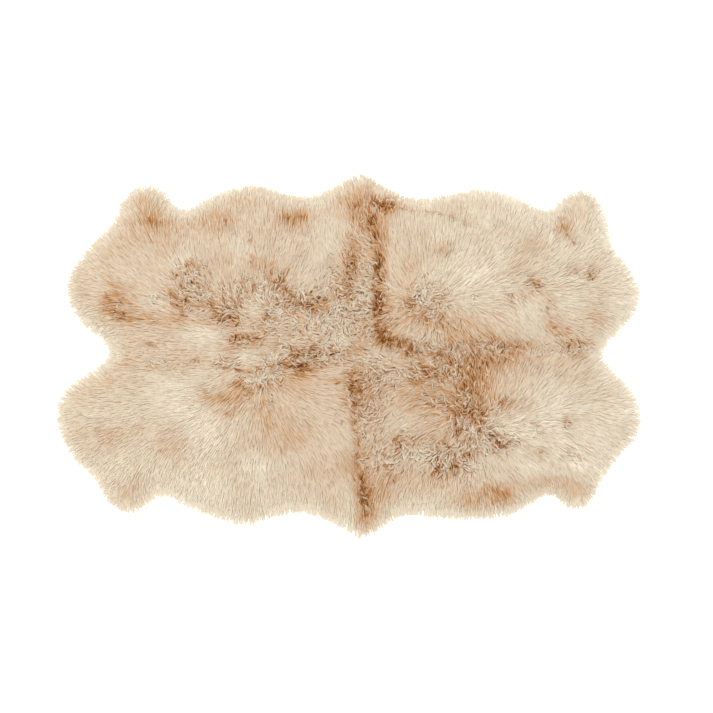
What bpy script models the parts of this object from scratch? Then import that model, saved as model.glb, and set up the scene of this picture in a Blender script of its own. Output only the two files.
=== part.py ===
"""A rug sewn from four sheepskins, lying flat with its wool up.

x runs along the rug, y across it and z up from the floor it lies on. Far is +y, near is
-y, left is -x and right is +x. Each skin is two solids: its tanned hide, a thin sheet,
and the wool that stands on it, a lumpy slab with combed locks all round its outer rim.
The four skins meet at three seams: one runs along the rug, and one from each long side
meets it, a little apart from each other.
"""
import math
import random

import bmesh
import bpy
from mathutils import Vector, noise
from mathutils.geometry import delaunay_2d_cdt

MM = 0.001

HIDE_THICKNESS = 2.0 * MM
GAP = 0.3 * MM                  # between neighbouring pieces
WOOL_REACH = 30.0 * MM          # how far the wool lies out past the edge of the hide
SEAM_END_REACH = 42.0 * MM      # the same where a seam runs out at the rim

WOOL_CROWN = 56.0 * MM          # top of the wool, well inside a skin
WOOL_EDGE = 25.0 * MM           # top of the wool over the hide's edge
EDGE_ROUND = 120.0 * MM         # how far in from the edge the wool keeps rising
TUFT_SIZE = 50.0 * MM           # from one tuft's top to the next
TUFT_RISE = 4.0 * MM
COMBED_LENGTH = 110.0 * MM      # of the long tufts that run out from a skin's whorl
COMBED_AT = 260.0 * MM          # how far from the whorl they are as wide as a tuft
COMBED_RISE = 7.0 * MM
SWELL_SIZE = 210.0 * MM         # the slow rise and fall under the tufts
SWELL_RISE = 5.0 * MM

LOCK_SPACING = 19.5 * MM        # along the rim
LOCK_BEND = 0.60                # where a lock comes down to the floor, along its length
LOCK_BEND_HEIGHT = 15.0 * MM
LOCK_TAPER = 0.74               # a lock's width at its bend, as a share of its root
LOCK_LENGTHS = (0.92, 1.16)     # shortest and longest, as shares of the reach
SURFACE_SPACING = 21.5 * MM     # between the points of the wool's top
CURVE_STEPS = 10                # short lines for each stretch between two outline points

# The rim of the wool, counterclockwise, as (x, y) in millimetres. Each list runs from
# the end of one seam to the end of the next. Their ends are the four seam ends.
FAR_SEAM_END = (35, 570)
LEFT_SEAM_END = (-735, 0)
NEAR_SEAM_END = (35, -570)
RIGHT_SEAM_END = (775, 5)

RIM = {
    "far_left": [
        FAR_SEAM_END, (-30, 525), (-95, 495), (-180, 490), (-310, 525), (-440, 480),
        (-520, 445), (-575, 505), (-640, 525), (-700, 480), (-720, 415), (-805, 330),
        (-870, 225), (-840, 115), (-755, 40), LEFT_SEAM_END],
    "near_left": [
        LEFT_SEAM_END, (-790, -50), (-875, -105), (-900, -190), (-865, -295),
        (-785, -380), (-745, -450), (-680, -490), (-615, -455), (-580, -430),
        (-490, -470), (-330, -520), (-210, -490), (-130, -485), (-40, -525),
        NEAR_SEAM_END],
    "near_right": [
        NEAR_SEAM_END, (110, -525), (170, -490), (345, -505), (500, -490),
        (610, -425), (665, -470), (720, -475), (770, -395), (810, -330),
        (890, -235), (875, -120), (790, -30), RIGHT_SEAM_END],
    "far_right": [
        RIGHT_SEAM_END, (795, 40), (890, 150), (875, 245), (805, 330), (785, 440),
        (725, 510), (655, 485), (610, 440), (500, 490), (400, 510), (300, 495),
        (210, 480), (120, 510), FAR_SEAM_END],
}

# The seams, in millimetres. The far seam and the near seam meet the long one apart.
FAR_MEETING = (85, 15)
NEAR_MEETING = (30, 10)
FAR_SEAM = [FAR_SEAM_END, (65, 485), (85, 405), (90, 270), (80, 145), FAR_MEETING]
NEAR_SEAM = [NEAR_SEAM_END, (40, -475), (25, -365), (30, -225), (25, -105), NEAR_MEETING]
LONG_SEAM_LEFT = [LEFT_SEAM_END, (-460, 15), (-180, 0), NEAR_MEETING]
LONG_SEAM_MIDDLE = [NEAR_MEETING, FAR_MEETING]
LONG_SEAM_RIGHT = [FAR_MEETING, (315, 5), (560, 15), RIGHT_SEAM_END]

# Where the wool parts or lies pressed down: from (x1, y1) to (x2, y2), with the
# parting's half width and its depth, all in millimetres.
PARTINGS = [
    # x1,   y1,   x2,   y2, width, depth
    (40, 555, 70, 470, 26, 12),          # far seam
    (70, 470, 90, 290, 18, 15),
    (90, 290, 82, 60, 18, 17),
    (82, 60, 130, 20, 22, 9),
    (10, 350, 18, 80, 24, 8),            # a second parting beside it
    (95, 470, 250, 448, 16, 10),         # crease inside the far right rim
    (250, 448, 430, 380, 18, 7),
    (115, 15, 330, 5, 26, 15),           # long seam, right half
    (330, 5, 600, 18, 22, 13),
    (600, 18, 760, 8, 24, 9),
    (-700, 5, -430, 14, 20, 8),          # long seam, left half
    (-430, 14, -60, 0, 24, 7),
    (35, -20, 25, -300, 20, 9),          # near seam
    (25, -300, 40, -520, 26, 12),
]

# Where the wool is rough and stands in curls: centre, radius and how far its tufts
# rise there, in millimetres.
ROUGH = [
    # x,    y, radius, rise
    (-490, 210, 120, 10),
    (-180, 180, 140, 11),
    (-340, 60, 120, 8),
    (40, 230, 90, 8),
    (-120, -10, 110, 9),
    (240, 160, 110, 8),
    (430, -230, 160, 11),
    (300, -60, 120, 8),
    (600, -120, 100, 7),
]

# Where the wool of each skin turns outwards on all sides, in millimetres.
WHORL = {
    "far_left": (-300, 200),
    "near_left": (-290, -90),
    "near_right": (330, -110),
    "far_right": (240, 165),
}


def smooth_curve(points):
    """Return a fine line of (x, y) in metres, a Catmull-Rom curve through the points."""
    knots = [Vector(point) * MM for point in points]
    knots = [2 * knots[0] - knots[1]] + knots + [2 * knots[-1] - knots[-2]]
    line = []
    for a, b, c, d in zip(knots, knots[1:], knots[2:], knots[3:]):
        for step in range(CURVE_STEPS):
            t = step / CURVE_STEPS
            line.append(0.5 * (2 * b + (c - a) * t + (2 * a - 5 * b + 4 * c - d) * t ** 2
                               + (3 * b - a - 3 * c + d) * t ** 3))
    line.append(knots[-2])
    return line


def resample(line, spacing, start=0.0, end=0.0):
    """Return points evenly apart along a line, less a length at its start and end."""
    lengths = [0.0]
    for a, b in zip(line, line[1:]):
        lengths.append(lengths[-1] + (b - a).length)
    first, last = start, lengths[-1] - end
    count = max(1, round((last - first) / spacing))
    points = []
    index = 0
    for step in range(count + 1):
        reached = first + (last - first) * step / count
        while index < len(line) - 2 and lengths[index + 1] < reached:
            index += 1
        share = (reached - lengths[index]) / (lengths[index + 1] - lengths[index])
        points.append(line[index].lerp(line[index + 1], share))
    return points


def left_normals(line):
    """Return the unit normal to the left of each point of a line."""
    normals = []
    for index in range(len(line)):
        along = line[min(index + 1, len(line) - 1)] - line[max(index - 1, 0)]
        normals.append(Vector((-along.y, along.x)).normalized())
    return normals


def beside(line):
    """Return a line moved to its own left by half of the gap between two pieces."""
    return [point + normal * GAP / 2 for point, normal in zip(line, left_normals(line))]


def join_at_corner(first, second):
    """Return two lines as one, both moved half a gap to the left, with one corner."""
    corner = first[-1] + (left_normals(first)[-1] + left_normals(second)[0]) * GAP / 2
    return beside(first)[:-1] + [corner] + beside(second)[1:]


def make_seams():
    """Return each seam's points, from its outer end to where it meets the others."""
    spacing = SURFACE_SPACING
    return {
        "far": resample(smooth_curve(FAR_SEAM), spacing, start=SEAM_END_REACH),
        "near": resample(smooth_curve(NEAR_SEAM), spacing, start=SEAM_END_REACH),
        "long_left": resample(smooth_curve(LONG_SEAM_LEFT), spacing,
                              start=SEAM_END_REACH),
        "long_middle": resample(smooth_curve(LONG_SEAM_MIDDLE), spacing),
        "long_right": resample(smooth_curve(LONG_SEAM_RIGHT), spacing,
                               end=SEAM_END_REACH),
    }


def sewn_edge(skin, seams):
    """Return the sewn edge of a skin, counterclockwise, from its rim's end to its start."""
    long_left, long_right = seams["long_left"], seams["long_right"]
    far, near, middle = seams["far"], seams["near"], seams["long_middle"]
    if skin == "far_left":
        return join_at_corner(long_left + middle[1:], far[::-1])
    if skin == "near_left":
        return join_at_corner(near, long_left[::-1])
    if skin == "near_right":
        return join_at_corner(long_right[::-1] + middle[::-1][1:], near[::-1])
    return join_at_corner(far, long_right)


def hide_rim(rim, start, end):
    """Return the hide's edge inside a rim of wool, between two ends on its seams."""
    normals = left_normals(rim)
    last = len(rim) - 1
    edge = []
    turn_steps = 3 * SEAM_END_REACH / LOCK_SPACING
    for index, point in enumerate(rim):
        from_start = max(0.0, 1 - index / turn_steps) ** 2
        from_end = max(0.0, 1 - (last - index) / turn_steps) ** 2
        inwards = normals[index] * WOOL_REACH
        inwards = inwards.lerp(start - rim[0], from_start)
        edge.append(point + inwards.lerp(end - rim[-1], from_end))
    return edge


def distance_to_line(point, line):
    """Return the distance from a point to the nearest place on a line."""
    nearest = math.inf
    for a, b in zip(line, line[1:]):
        along = b - a
        share = max(0.0, min(1.0, (point - a).dot(along) / along.length_squared))
        nearest = min(nearest, (point - a - along * share).length)
    return nearest


def bump(point, size):
    """Return a smooth random value, about -1 to 1, that changes over a given size."""
    return 1.6 * noise.noise(Vector((point.x / size, point.y / size, 0.5)))


def combed_bump(point, whorl):
    """Return a smooth random value, about -1 to 1, long in the way the wool is combed."""
    away = point - Vector(whorl) * MM
    around = away.normalized() * COMBED_AT / TUFT_SIZE
    return 1.6 * noise.noise(Vector((*around, away.length / COMBED_LENGTH)))


def wool_top(point, edge_distance, whorl):
    """Return the height of the wool over a point, given its distance to the rim."""
    rise = min(1.0, edge_distance / EDGE_ROUND)
    rise = math.sqrt(1 - (1 - rise) ** 2)
    height = WOOL_EDGE + (WOOL_CROWN - WOOL_EDGE) * rise
    for x1, y1, x2, y2, width, depth in PARTINGS:
        line = [Vector((x1, y1)) * MM, Vector((x2, y2)) * MM]
        away = distance_to_line(point, line) / (width * MM)
        height -= depth * MM * rise * math.exp(-away ** 2)
    tuft_rise = TUFT_RISE
    for x, y, radius, rough_rise in ROUGH:
        away = (point - Vector((x, y)) * MM).length / (radius * MM)
        tuft_rise += (rough_rise * MM - TUFT_RISE) * math.exp(-away ** 2)
    height += rise * tuft_rise * bump(point, TUFT_SIZE)
    height += rise * COMBED_RISE * combed_bump(point, whorl)
    height += rise * SWELL_RISE * bump(point, SWELL_SIZE)
    return height


def inside(point, outline):
    """Return whether a point is inside a closed outline."""
    crossings = 0
    for a, b in zip(outline, outline[1:] + outline[:1]):
        if (a.y > point.y) != (b.y > point.y):
            crossings += point.x < a.x + (point.y - a.y) * (b.x - a.x) / (b.y - a.y)
    return crossings % 2 == 1


def field_points(outline):
    """Return points in a triangular pattern inside an outline, clear of its edge."""
    closed = outline + outline[:1]
    low = Vector((min(p.x for p in outline), min(p.y for p in outline)))
    high = Vector((max(p.x for p in outline), max(p.y for p in outline)))
    row_step = SURFACE_SPACING * math.sqrt(3) / 2
    points = []
    for row in range(int((high.y - low.y) / row_step) + 1):
        y = low.y + (row + 0.5) * row_step
        for column in range(int((high.x - low.x) / SURFACE_SPACING) + 1):
            x = low.x + (column + 0.5 * (row % 2)) * SURFACE_SPACING
            point = Vector((x, y))
            if inside(point, outline):
                if distance_to_line(point, closed) > 0.55 * SURFACE_SPACING:
                    points.append(point)
    return points


def add_lock(bm, root, rim_a, rim_b, rng):
    """Add one lock that grows from a root of four corners and lies out on the floor.

    The root's corners are the lower a and b and the upper b and a, where a and b are
    its two sides. The lock stays between the lines from its sides to rim_a and rim_b.
    """
    low_a, low_b, high_b, high_a = root
    side_a = low_a.co.xy.lerp(rim_a, LOCK_BEND)
    side_b = low_b.co.xy.lerp(rim_b, LOCK_BEND)
    middle = side_a.lerp(side_b, 0.5)
    bend_a = middle.lerp(side_a, LOCK_TAPER)
    bend_b = middle.lerp(side_b, LOCK_TAPER)
    top = LOCK_BEND_HEIGHT * rng.uniform(0.8, 1.2)
    bend = [bm.verts.new(bend_a.to_3d()), bm.verts.new(bend_b.to_3d()),
            bm.verts.new((*bend_b, top)), bm.verts.new((*bend_a, top))]
    root_middle = low_a.co.xy.lerp(low_b.co.xy, 0.5)
    aim = rim_a.lerp(rim_b, rng.uniform(0.3, 0.7))
    tip = bm.verts.new(root_middle.lerp(aim, rng.uniform(*LOCK_LENGTHS)).to_3d())
    for index in range(4):
        after = (index + 1) % 4
        bm.faces.new((root[index], root[after], bend[after], bend[index]))
        bm.faces.new((bend[index], bend[after], tip))


def make_wool(skin, rim, edge, sewn, material):
    """Make the wool of one skin, a slab on its hide with a lock at each rim face."""
    rng = random.Random(skin)
    outline = edge + sewn[1:-1]
    field = field_points(outline)
    count = len(outline)
    borders = [(index, (index + 1) % count) for index in range(count)]
    top = delaunay_2d_cdt(outline + field, borders, [], 1, 1e-7)
    points, faces = top[0], top[2]
    bm = bmesh.new()
    upper = []
    for point in points:
        height = wool_top(point, distance_to_line(point, edge), WHORL[skin])
        upper.append(bm.verts.new((*point, height)))
    for face in faces:
        bm.faces.new([upper[index] for index in face])
    floor = HIDE_THICKNESS + GAP
    lower = [bm.verts.new((*point, floor)) for point in points[:count]]
    bm.faces.new(lower[::-1])
    for a, b in borders:
        wall = (lower[a], lower[b], upper[b], upper[a])
        if b < len(edge) and b > 0:
            add_lock(bm, wall, rim[a], rim[b], rng)
        else:
            bm.faces.new(wall)
    return finish("wool_" + skin, bm, material, smooth=True)


def make_hide(skin, outline, material):
    """Make the hide of one skin, a sheet that lies flat on the floor."""
    bm = bmesh.new()
    sheet = bm.faces.new([bm.verts.new((*point, 0)) for point in outline])
    thickened = bmesh.ops.extrude_face_region(bm, geom=[sheet])
    raised = [item for item in thickened["geom"] if isinstance(item, bmesh.types.BMVert)]
    bmesh.ops.translate(bm, verts=raised, vec=(0, 0, HIDE_THICKNESS))
    bmesh.ops.recalc_face_normals(bm, faces=bm.faces)
    return finish("hide_" + skin, bm, material, smooth=False)


def finish(name, bm, material, smooth):
    """Turn a bmesh into a named object with its material."""
    mesh = bpy.data.meshes.new(name)
    bm.to_mesh(mesh)
    bm.free()
    if smooth:
        mesh.shade_smooth()
        mesh.set_sharp_from_angle(angle=math.radians(60))
    mesh.materials.append(material)
    piece = bpy.data.objects.new(name, mesh)
    bpy.context.scene.collection.objects.link(piece)
    return piece


def make_material(name, colour, roughness):
    """Make a material with one colour."""
    material = bpy.data.materials.new(name)
    material.use_nodes = True
    shader = material.node_tree.nodes["Principled BSDF"]
    shader.inputs["Base Color"].default_value = (*colour, 1.0)
    shader.inputs["Roughness"].default_value = roughness
    shader.inputs["Metallic"].default_value = 0.0
    return material


def centre(pieces):
    """Put the middle of all the pieces over the origin."""
    corners = [vertex.co for piece in pieces for vertex in piece.data.vertices]
    x = (min(c.x for c in corners) + max(c.x for c in corners)) / 2
    y = (min(c.y for c in corners) + max(c.y for c in corners)) / 2
    for piece in pieces:
        for vertex in piece.data.vertices:
            vertex.co -= Vector((x, y, 0))


def main():
    for old in list(bpy.data.objects):
        bpy.data.objects.remove(old, do_unlink=True)
    leather = make_material("Tanned hide", (0.62, 0.47, 0.33), 0.75)
    wool = make_material("Combed wool", (0.76, 0.58, 0.40), 0.9)
    seams = make_seams()
    pieces = []
    for skin in RIM:
        rim = resample(smooth_curve(RIM[skin]), LOCK_SPACING)
        sewn = sewn_edge(skin, seams)
        edge = hide_rim(rim, start=sewn[-1], end=sewn[0])
        pieces.append(make_hide(skin, edge + sewn[1:-1], leather))
        pieces.append(make_wool(skin, rim, edge, sewn, wool))
    centre(pieces)
    rug = bpy.data.objects.new("sheepskin_rug", None)
    bpy.context.scene.collection.objects.link(rug)
    for piece in pieces:
        piece.parent = rug


main()
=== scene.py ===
"""The looks of a rug sewn from four sheepskins, lying on a pale floor, seen from above.

The frame gives each skin as a hide and a slab of wool. Here the hides become tanned
leather with sewn seams, and the wool becomes tens of thousands of combed locks, which
follow the top of the frame's slabs. Lengths are in metres. Tables of where the wool
turns, curls and darkens give places as (px, py) in the photograph's frame of 713 pixels.
"""
import math

import bpy
import numpy as np
from mathutils.bvhtree import BVHTree
from mathutils.kdtree import KDTree
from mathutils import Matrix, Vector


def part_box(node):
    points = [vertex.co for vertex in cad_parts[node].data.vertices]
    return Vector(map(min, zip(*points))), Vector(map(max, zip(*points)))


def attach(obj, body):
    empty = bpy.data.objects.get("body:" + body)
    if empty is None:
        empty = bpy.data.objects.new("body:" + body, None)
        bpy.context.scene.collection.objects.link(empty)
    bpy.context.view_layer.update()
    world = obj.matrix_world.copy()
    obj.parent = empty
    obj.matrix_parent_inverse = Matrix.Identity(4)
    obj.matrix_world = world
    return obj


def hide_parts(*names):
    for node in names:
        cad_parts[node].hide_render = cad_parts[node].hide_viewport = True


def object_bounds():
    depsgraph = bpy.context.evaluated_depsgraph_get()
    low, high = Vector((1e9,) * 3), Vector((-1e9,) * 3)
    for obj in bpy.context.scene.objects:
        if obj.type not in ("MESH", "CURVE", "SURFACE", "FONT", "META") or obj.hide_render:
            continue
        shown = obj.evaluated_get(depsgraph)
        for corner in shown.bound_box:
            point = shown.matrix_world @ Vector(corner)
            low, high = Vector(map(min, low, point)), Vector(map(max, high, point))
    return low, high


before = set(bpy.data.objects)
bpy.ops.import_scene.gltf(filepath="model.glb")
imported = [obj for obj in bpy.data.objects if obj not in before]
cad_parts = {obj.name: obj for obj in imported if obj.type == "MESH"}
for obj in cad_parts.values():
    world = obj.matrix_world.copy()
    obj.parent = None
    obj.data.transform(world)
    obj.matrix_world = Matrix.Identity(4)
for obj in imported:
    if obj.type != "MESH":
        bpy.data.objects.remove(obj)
cad_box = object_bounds()


# ---- The floor, the light and the camera ------------------------------------------------
# A white studio floor, lit from below as well, so that it shows no shadow, in soft light
# from above, a little stronger from the far left. The camera looks straight down through
# a long lens, so the rug shows nearly no depth.

PHOTO_PX = 713
RUG_LENGTH = 1.80
RUG_LENGTH_PX = 585
RUG_CENTRE_PX = (348.5, 356.0)
PX = RUG_LENGTH / RUG_LENGTH_PX         # one pixel of the photograph, in metres
LENS_MM = 100.0
SENSOR_MM = 36.0

camera_height = PHOTO_PX * PX * LENS_MM / SENSOR_MM
camera_x = (PHOTO_PX / 2 - RUG_CENTRE_PX[0]) * PX
camera_y = (RUG_CENTRE_PX[1] - PHOTO_PX / 2) * PX
bpy.ops.object.camera_add(location=(camera_x, camera_y, camera_height), rotation=(0, 0, 0))
camera = bpy.context.object
camera.name = "overhead_camera"
camera.data.lens = LENS_MM
camera.data.sensor_width = SENSOR_MM
camera.data.clip_end = 100.0
bpy.context.scene.camera = camera


def linear(hex_colour):
    """Return an sRGB hex colour as a linear RGBA tuple."""
    channels = [int(hex_colour[i:i + 2], 16) / 255 for i in (0, 2, 4)]
    return (*[c / 12.92 if c <= 0.04045 else ((c + 0.055) / 1.055) ** 2.4
              for c in channels], 1.0)


def add_node(tree, kind, settings=(), **links):
    """Add a node with its settings, and link or set its inputs by name."""
    node = tree.nodes.new(kind)
    for name, value in dict(settings).items():
        setattr(node, name, value)
    for name, value in links.items():
        socket = node.inputs[int(name[1:])] if name[0] == "_" else node.inputs[name]
        if isinstance(value, bpy.types.NodeSocket):
            tree.links.new(value, socket)
        else:
            socket.default_value = value
    return node


def new_material(name, colour, roughness):
    """Return a new material, its node tree and its shader, in one plain colour so far."""
    material = bpy.data.materials.new(name)
    material.use_nodes = True
    shader = material.node_tree.nodes["Principled BSDF"]
    shader.inputs["Base Color"].default_value = linear(colour)
    shader.inputs["Roughness"].default_value = roughness
    return material, material.node_tree, shader


def add_ramp(tree, factor, stops):
    """Add a colour ramp that is read at a factor, with its stops (position, colour)."""
    ramp = add_node(tree, "ShaderNodeValToRGB", _0=factor)
    for position, _ in stops[2:]:
        ramp.color_ramp.elements.new(position)
    for element, (position, colour) in zip(ramp.color_ramp.elements, stops):
        element.position = position
        element.color = linear(colour)
    return ramp


FLOOR_SIZE = 60.0
FLOOR_DROP = 0.0003     # below the hides, so that their lower faces don't coincide with it
FLOOR_GLOW = 0.6
KEY_PLACE = (-1.7, 1.9, 7.0)
KEY_SIDE = 2.6
KEY_POWER = 186.0

bpy.ops.mesh.primitive_plane_add(size=FLOOR_SIZE, location=(0, 0, -FLOOR_DROP))
floor = bpy.context.object
floor.name = "studio_floor"
floor_paint, _, floor_shader = new_material("white floor lit from below", "FFFFFF", 0.9)
floor_shader.inputs["Emission Color"].default_value = (1.0, 1.0, 1.0, 1.0)
floor_shader.inputs["Emission Strength"].default_value = FLOOR_GLOW
floor.data.materials.append(floor_paint)

sky = bpy.data.worlds.new("soft studio light")
sky.use_nodes = True
sky.node_tree.nodes["Background"].inputs["Color"].default_value = (1.0, 1.0, 1.0, 1.0)
sky.node_tree.nodes["Background"].inputs["Strength"].default_value = 1.0
bpy.context.scene.world = sky

bpy.ops.object.light_add(type="AREA", location=KEY_PLACE)
key = bpy.context.object
key.name = "soft_box"
key.data.shape = "SQUARE"
key.data.size = KEY_SIDE
key.data.energy = KEY_POWER
key.rotation_euler = key.location.to_track_quat("Z", "Y").to_euler()

bpy.context.scene.view_settings.view_transform = "Standard"
bpy.context.scene.cycles.diffuse_bounces = 8
bpy.context.scene.cycles.max_bounces = 12


# ---- The hides ---------------------------------------------------------------------------
# Four sheep hides, tanned, shaved to an even 2 mm on the flesh side and buffed there. They
# are cut to meet edge to edge, sewn together with a zigzag seam, and lie with the flesh side
# on the floor. The wool grows out of the other side and hides it.

SKINS = ("far_left", "near_left", "near_right", "far_right")
HIDE_EDGE_ROUND = 0.0005
FACES_DOWN = -0.9       # faces whose normals have a lower z than this are the lower side
SAME_PLACE = 1e-5       # corners nearer than this are merged
HIDE_CLOUD = 0.20       # from one cloud of the nap to the next
HIDE_VEINS = 0.0714     # from one vein to the next
VEIN_WANDER = 0.12      # the clouds pull the veins aside by up to this
HIDE_NAP = 0.00238      # a real nap is far finer and wouldn't show, so it is drawn coarser


# Tanned sheep hide, buffed: matt suede, pale buff, clouded where the nap lies another way,
# with faint veins and the fine pores of the shaved side.
def hide_material():
    """Return the hides' material."""
    material, tree, shader = new_material("tanned sheep hide with a buffed flesh side", "DCC7A6", 0.9)
    shader.inputs["Specular IOR Level"].default_value = 0.25
    shader.inputs["Sheen Weight"].default_value = 0.15
    shader.inputs["Sheen Roughness"].default_value = 0.5
    place = add_node(tree, "ShaderNodeTexCoord").outputs["Object"]
    clouds = add_node(tree, "ShaderNodeTexNoise", Vector=place, Scale=1 / HIDE_CLOUD,
                      Detail=6.0)
    nap = add_node(tree, "ShaderNodeTexNoise", Vector=place, Scale=1 / HIDE_NAP, Detail=3.0)
    pull = add_node(tree, "ShaderNodeVectorMath", {"operation": "MULTIPLY_ADD"},
                    _0=clouds.outputs["Color"], _1=(VEIN_WANDER, VEIN_WANDER, 0.0),
                    _2=place)
    veins = add_node(tree, "ShaderNodeTexVoronoi", {"feature": "DISTANCE_TO_EDGE"},
                     Vector=pull.outputs[0], Scale=1 / HIDE_VEINS)
    vein = add_node(tree, "ShaderNodeMapRange", Value=veins.outputs["Distance"],
                    **{"From Max": 0.035, "To Min": 0.04, "To Max": 0.0})
    fine = add_node(tree, "ShaderNodeMath", {"operation": "MULTIPLY_ADD"},
                    _0=nap.outputs["Fac"], _1=0.30, _2=clouds.outputs["Fac"])
    worn = add_node(tree, "ShaderNodeMath", {"operation": "SUBTRACT"},
                    _0=fine.outputs[0], _1=vein.outputs[0])
    ramp = add_ramp(tree, worn.outputs[0],
                    [(0.35, "CDB694"), (0.60, "D8C4A4"), (0.85, "E1D0B4")])
    tree.links.new(ramp.outputs["Color"], shader.inputs["Base Color"])
    dull = add_node(tree, "ShaderNodeMapRange", Value=nap.outputs["Fac"],
                    **{"To Min": 0.80, "To Max": 1.0})
    tree.links.new(dull.outputs[0], shader.inputs["Roughness"])
    suede = add_node(tree, "ShaderNodeBump", Height=nap.outputs["Fac"], Strength=0.5, Distance=0.0006)
    relief = add_node(tree, "ShaderNodeBump", Height=worn.outputs[0], Strength=0.5, Distance=0.003,
                      Normal=suede.outputs[0])
    tree.links.new(relief.outputs[0], shader.inputs["Normal"])
    return material


def copy_of(node, name):
    """Return a piece whose mesh is a frame node's, with its loose triangles merged."""
    piece = bpy.data.objects.new(name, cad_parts[node].data.copy())
    bpy.context.scene.collection.objects.link(piece)
    bpy.ops.object.select_all(action="DESELECT")
    bpy.context.view_layer.objects.active = piece
    piece.select_set(True)
    bpy.ops.object.mode_set(mode="EDIT")
    bpy.ops.mesh.select_all(action="SELECT")
    bpy.ops.mesh.remove_doubles(threshold=SAME_PLACE)
    bpy.ops.object.mode_set(mode="OBJECT")
    piece.data.materials.clear()
    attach(piece, "root")
    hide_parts(node)
    return piece


suede = hide_material()
for skin in SKINS:
    hide = copy_of("hide_" + skin, "tanned_hide_" + skin)
    rounded = hide.modifiers.new("rounded edge", "BEVEL")
    rounded.width = HIDE_EDGE_ROUND
    rounded.segments = 1
    rounded.limit_method = "ANGLE"
    bpy.ops.object.modifier_apply(modifier=rounded.name)
    hide.data.materials.append(suede)
    hide.data.shade_flat()


# ---- The seams ---------------------------------------------------------------------------
# Waxed cotton thread, sewn in a zigzag over the edges where two hides meet. It is drawn
# tight, so it lies half sunk in the flesh side. The wool hides it from above.

THREAD_THICK = 0.0004
STITCH_LENGTH = 0.0030
STITCH_HALF_WIDTH = 0.0022
SEAM_GAP = 0.0015       # edges that lie nearer than this to another hide are sewn to it
THREAD_TWIST = 0.001257 # from one ridge to the next, along the rug or across it
BANDS_A_METRE = 10 / (2 * math.pi)      # of a diagonal wave texture whose scale is 1


def loose_edges(node):
    """Return the start and end points (x, y) of the edges round a node's lower face."""
    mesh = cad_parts[node].data
    corners = [tuple(round(value, 5) for value in vertex.co) for vertex in mesh.vertices]
    seen = {}
    for face in mesh.polygons:
        if face.normal.z > FACES_DOWN:
            continue
        ring = [corners[index] for index in face.vertices]
        for start, end in zip(ring, ring[1:] + ring[:1]):
            if (end, start) in seen:
                del seen[end, start]
            else:
                seen[start, end] = True
    edges = np.array(list(seen))
    return edges[:, 0, :2], edges[:, 1, :2]


def gaps_to(places, starts, ends):
    """Return how far places lie from the nearest of the edges between starts and ends."""
    run = ends - starts
    along = ((places[:, None] - starts) * run).sum(2) / (run ** 2).sum(1)
    foot = starts + np.clip(along, 0, 1)[..., None] * run
    return np.linalg.norm(places[:, None] - foot, axis=2).min(1)


def left_of(ways):
    """Return the ways (x, y) that lie a quarter turn to the left of some."""
    return np.stack([-ways[:, 1], ways[:, 0]], 1)


# Cotton thread, waxed and twisted: pale, nearly matt, with its twist as a fine slanted ridge.
def thread_material():
    """Return the sewing thread's material."""
    material, tree, shader = new_material("waxed cotton thread, twisted", "E6DAC2", 0.6)
    shader.inputs["Specular IOR Level"].default_value = 0.4
    place = add_node(tree, "ShaderNodeTexCoord").outputs["Object"]
    twist = add_node(tree, "ShaderNodeTexWave", {"bands_direction": "DIAGONAL"},
                     Vector=place, Scale=1 / (THREAD_TWIST * BANDS_A_METRE), Distortion=1.0)
    ramp = add_ramp(tree, twist.outputs["Fac"], [(0.0, "CDBE9F"), (1.0, "EFE6D2")])
    tree.links.new(ramp.outputs["Color"], shader.inputs["Base Color"])
    worn = add_node(tree, "ShaderNodeMapRange", Value=twist.outputs["Fac"],
                    **{"To Min": 0.72, "To Max": 0.52})
    tree.links.new(worn.outputs[0], shader.inputs["Roughness"])
    ridge = add_node(tree, "ShaderNodeBump", Height=twist.outputs["Fac"], Strength=0.4,
                     Distance=0.0001)
    tree.links.new(ridge.outputs[0], shader.inputs["Normal"])
    return material


def seam_line(skin, other):
    """Return points along the edge at which one hide meets another, evenly spaced."""
    starts, ends = loose_edges("hide_" + skin)
    gaps = gaps_to((starts + ends) / 2, *loose_edges("hide_" + other))
    sewn = gaps < SEAM_GAP
    after = {tuple(start): tuple(end) for start, end in zip(starts[sewn], ends[sewn])}
    first = [start for start in after if start not in set(after.values())]
    if not first:
        return None
    line = [first[0]]
    while line[-1] in after:
        line.append(after[line[-1]])
    line = np.array(line)
    run = np.concatenate([[0], np.cumsum(np.linalg.norm(np.diff(line, axis=0), axis=1))])
    stops = np.linspace(0, run[-1], max(2, round(run[-1] / STITCH_LENGTH)))
    return np.stack([np.interp(stops, run, line[:, 0]), np.interp(stops, run, line[:, 1])], 1)


thread = bpy.data.curves.new("seam_thread", "CURVE")
thread.dimensions = "3D"
thread.bevel_depth = THREAD_THICK / 2
thread.bevel_resolution = 0
thread.use_fill_caps = True
for skin in SKINS:
    for other in SKINS[SKINS.index(skin) + 1:]:
        line = seam_line(skin, other)
        if line is None or len(line) < 4:
            continue
        way = np.gradient(line, axis=0)
        way /= np.linalg.norm(way, axis=1, keepdims=True)
        swing = STITCH_HALF_WIDTH * (1 - 2 * (np.arange(len(line)) % 2))
        holes = line + left_of(way) * swing[:, None]
        spline = thread.splines.new("POLY")
        spline.points.add(len(holes) - 1)
        for point, (x, y) in zip(spline.points, holes):
            point.co = (x, y, 0.0, 1.0)
stitches = bpy.data.objects.new("seam_thread", thread)
bpy.context.scene.collection.objects.link(stitches)
bpy.ops.object.select_all(action="DESELECT")
bpy.context.view_layer.objects.active = stitches
stitches.select_set(True)
bpy.ops.object.convert(target="MESH")
stitches = bpy.context.object
stitches.data.materials.clear()
stitches.data.materials.append(thread_material())
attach(stitches, "root")


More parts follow.
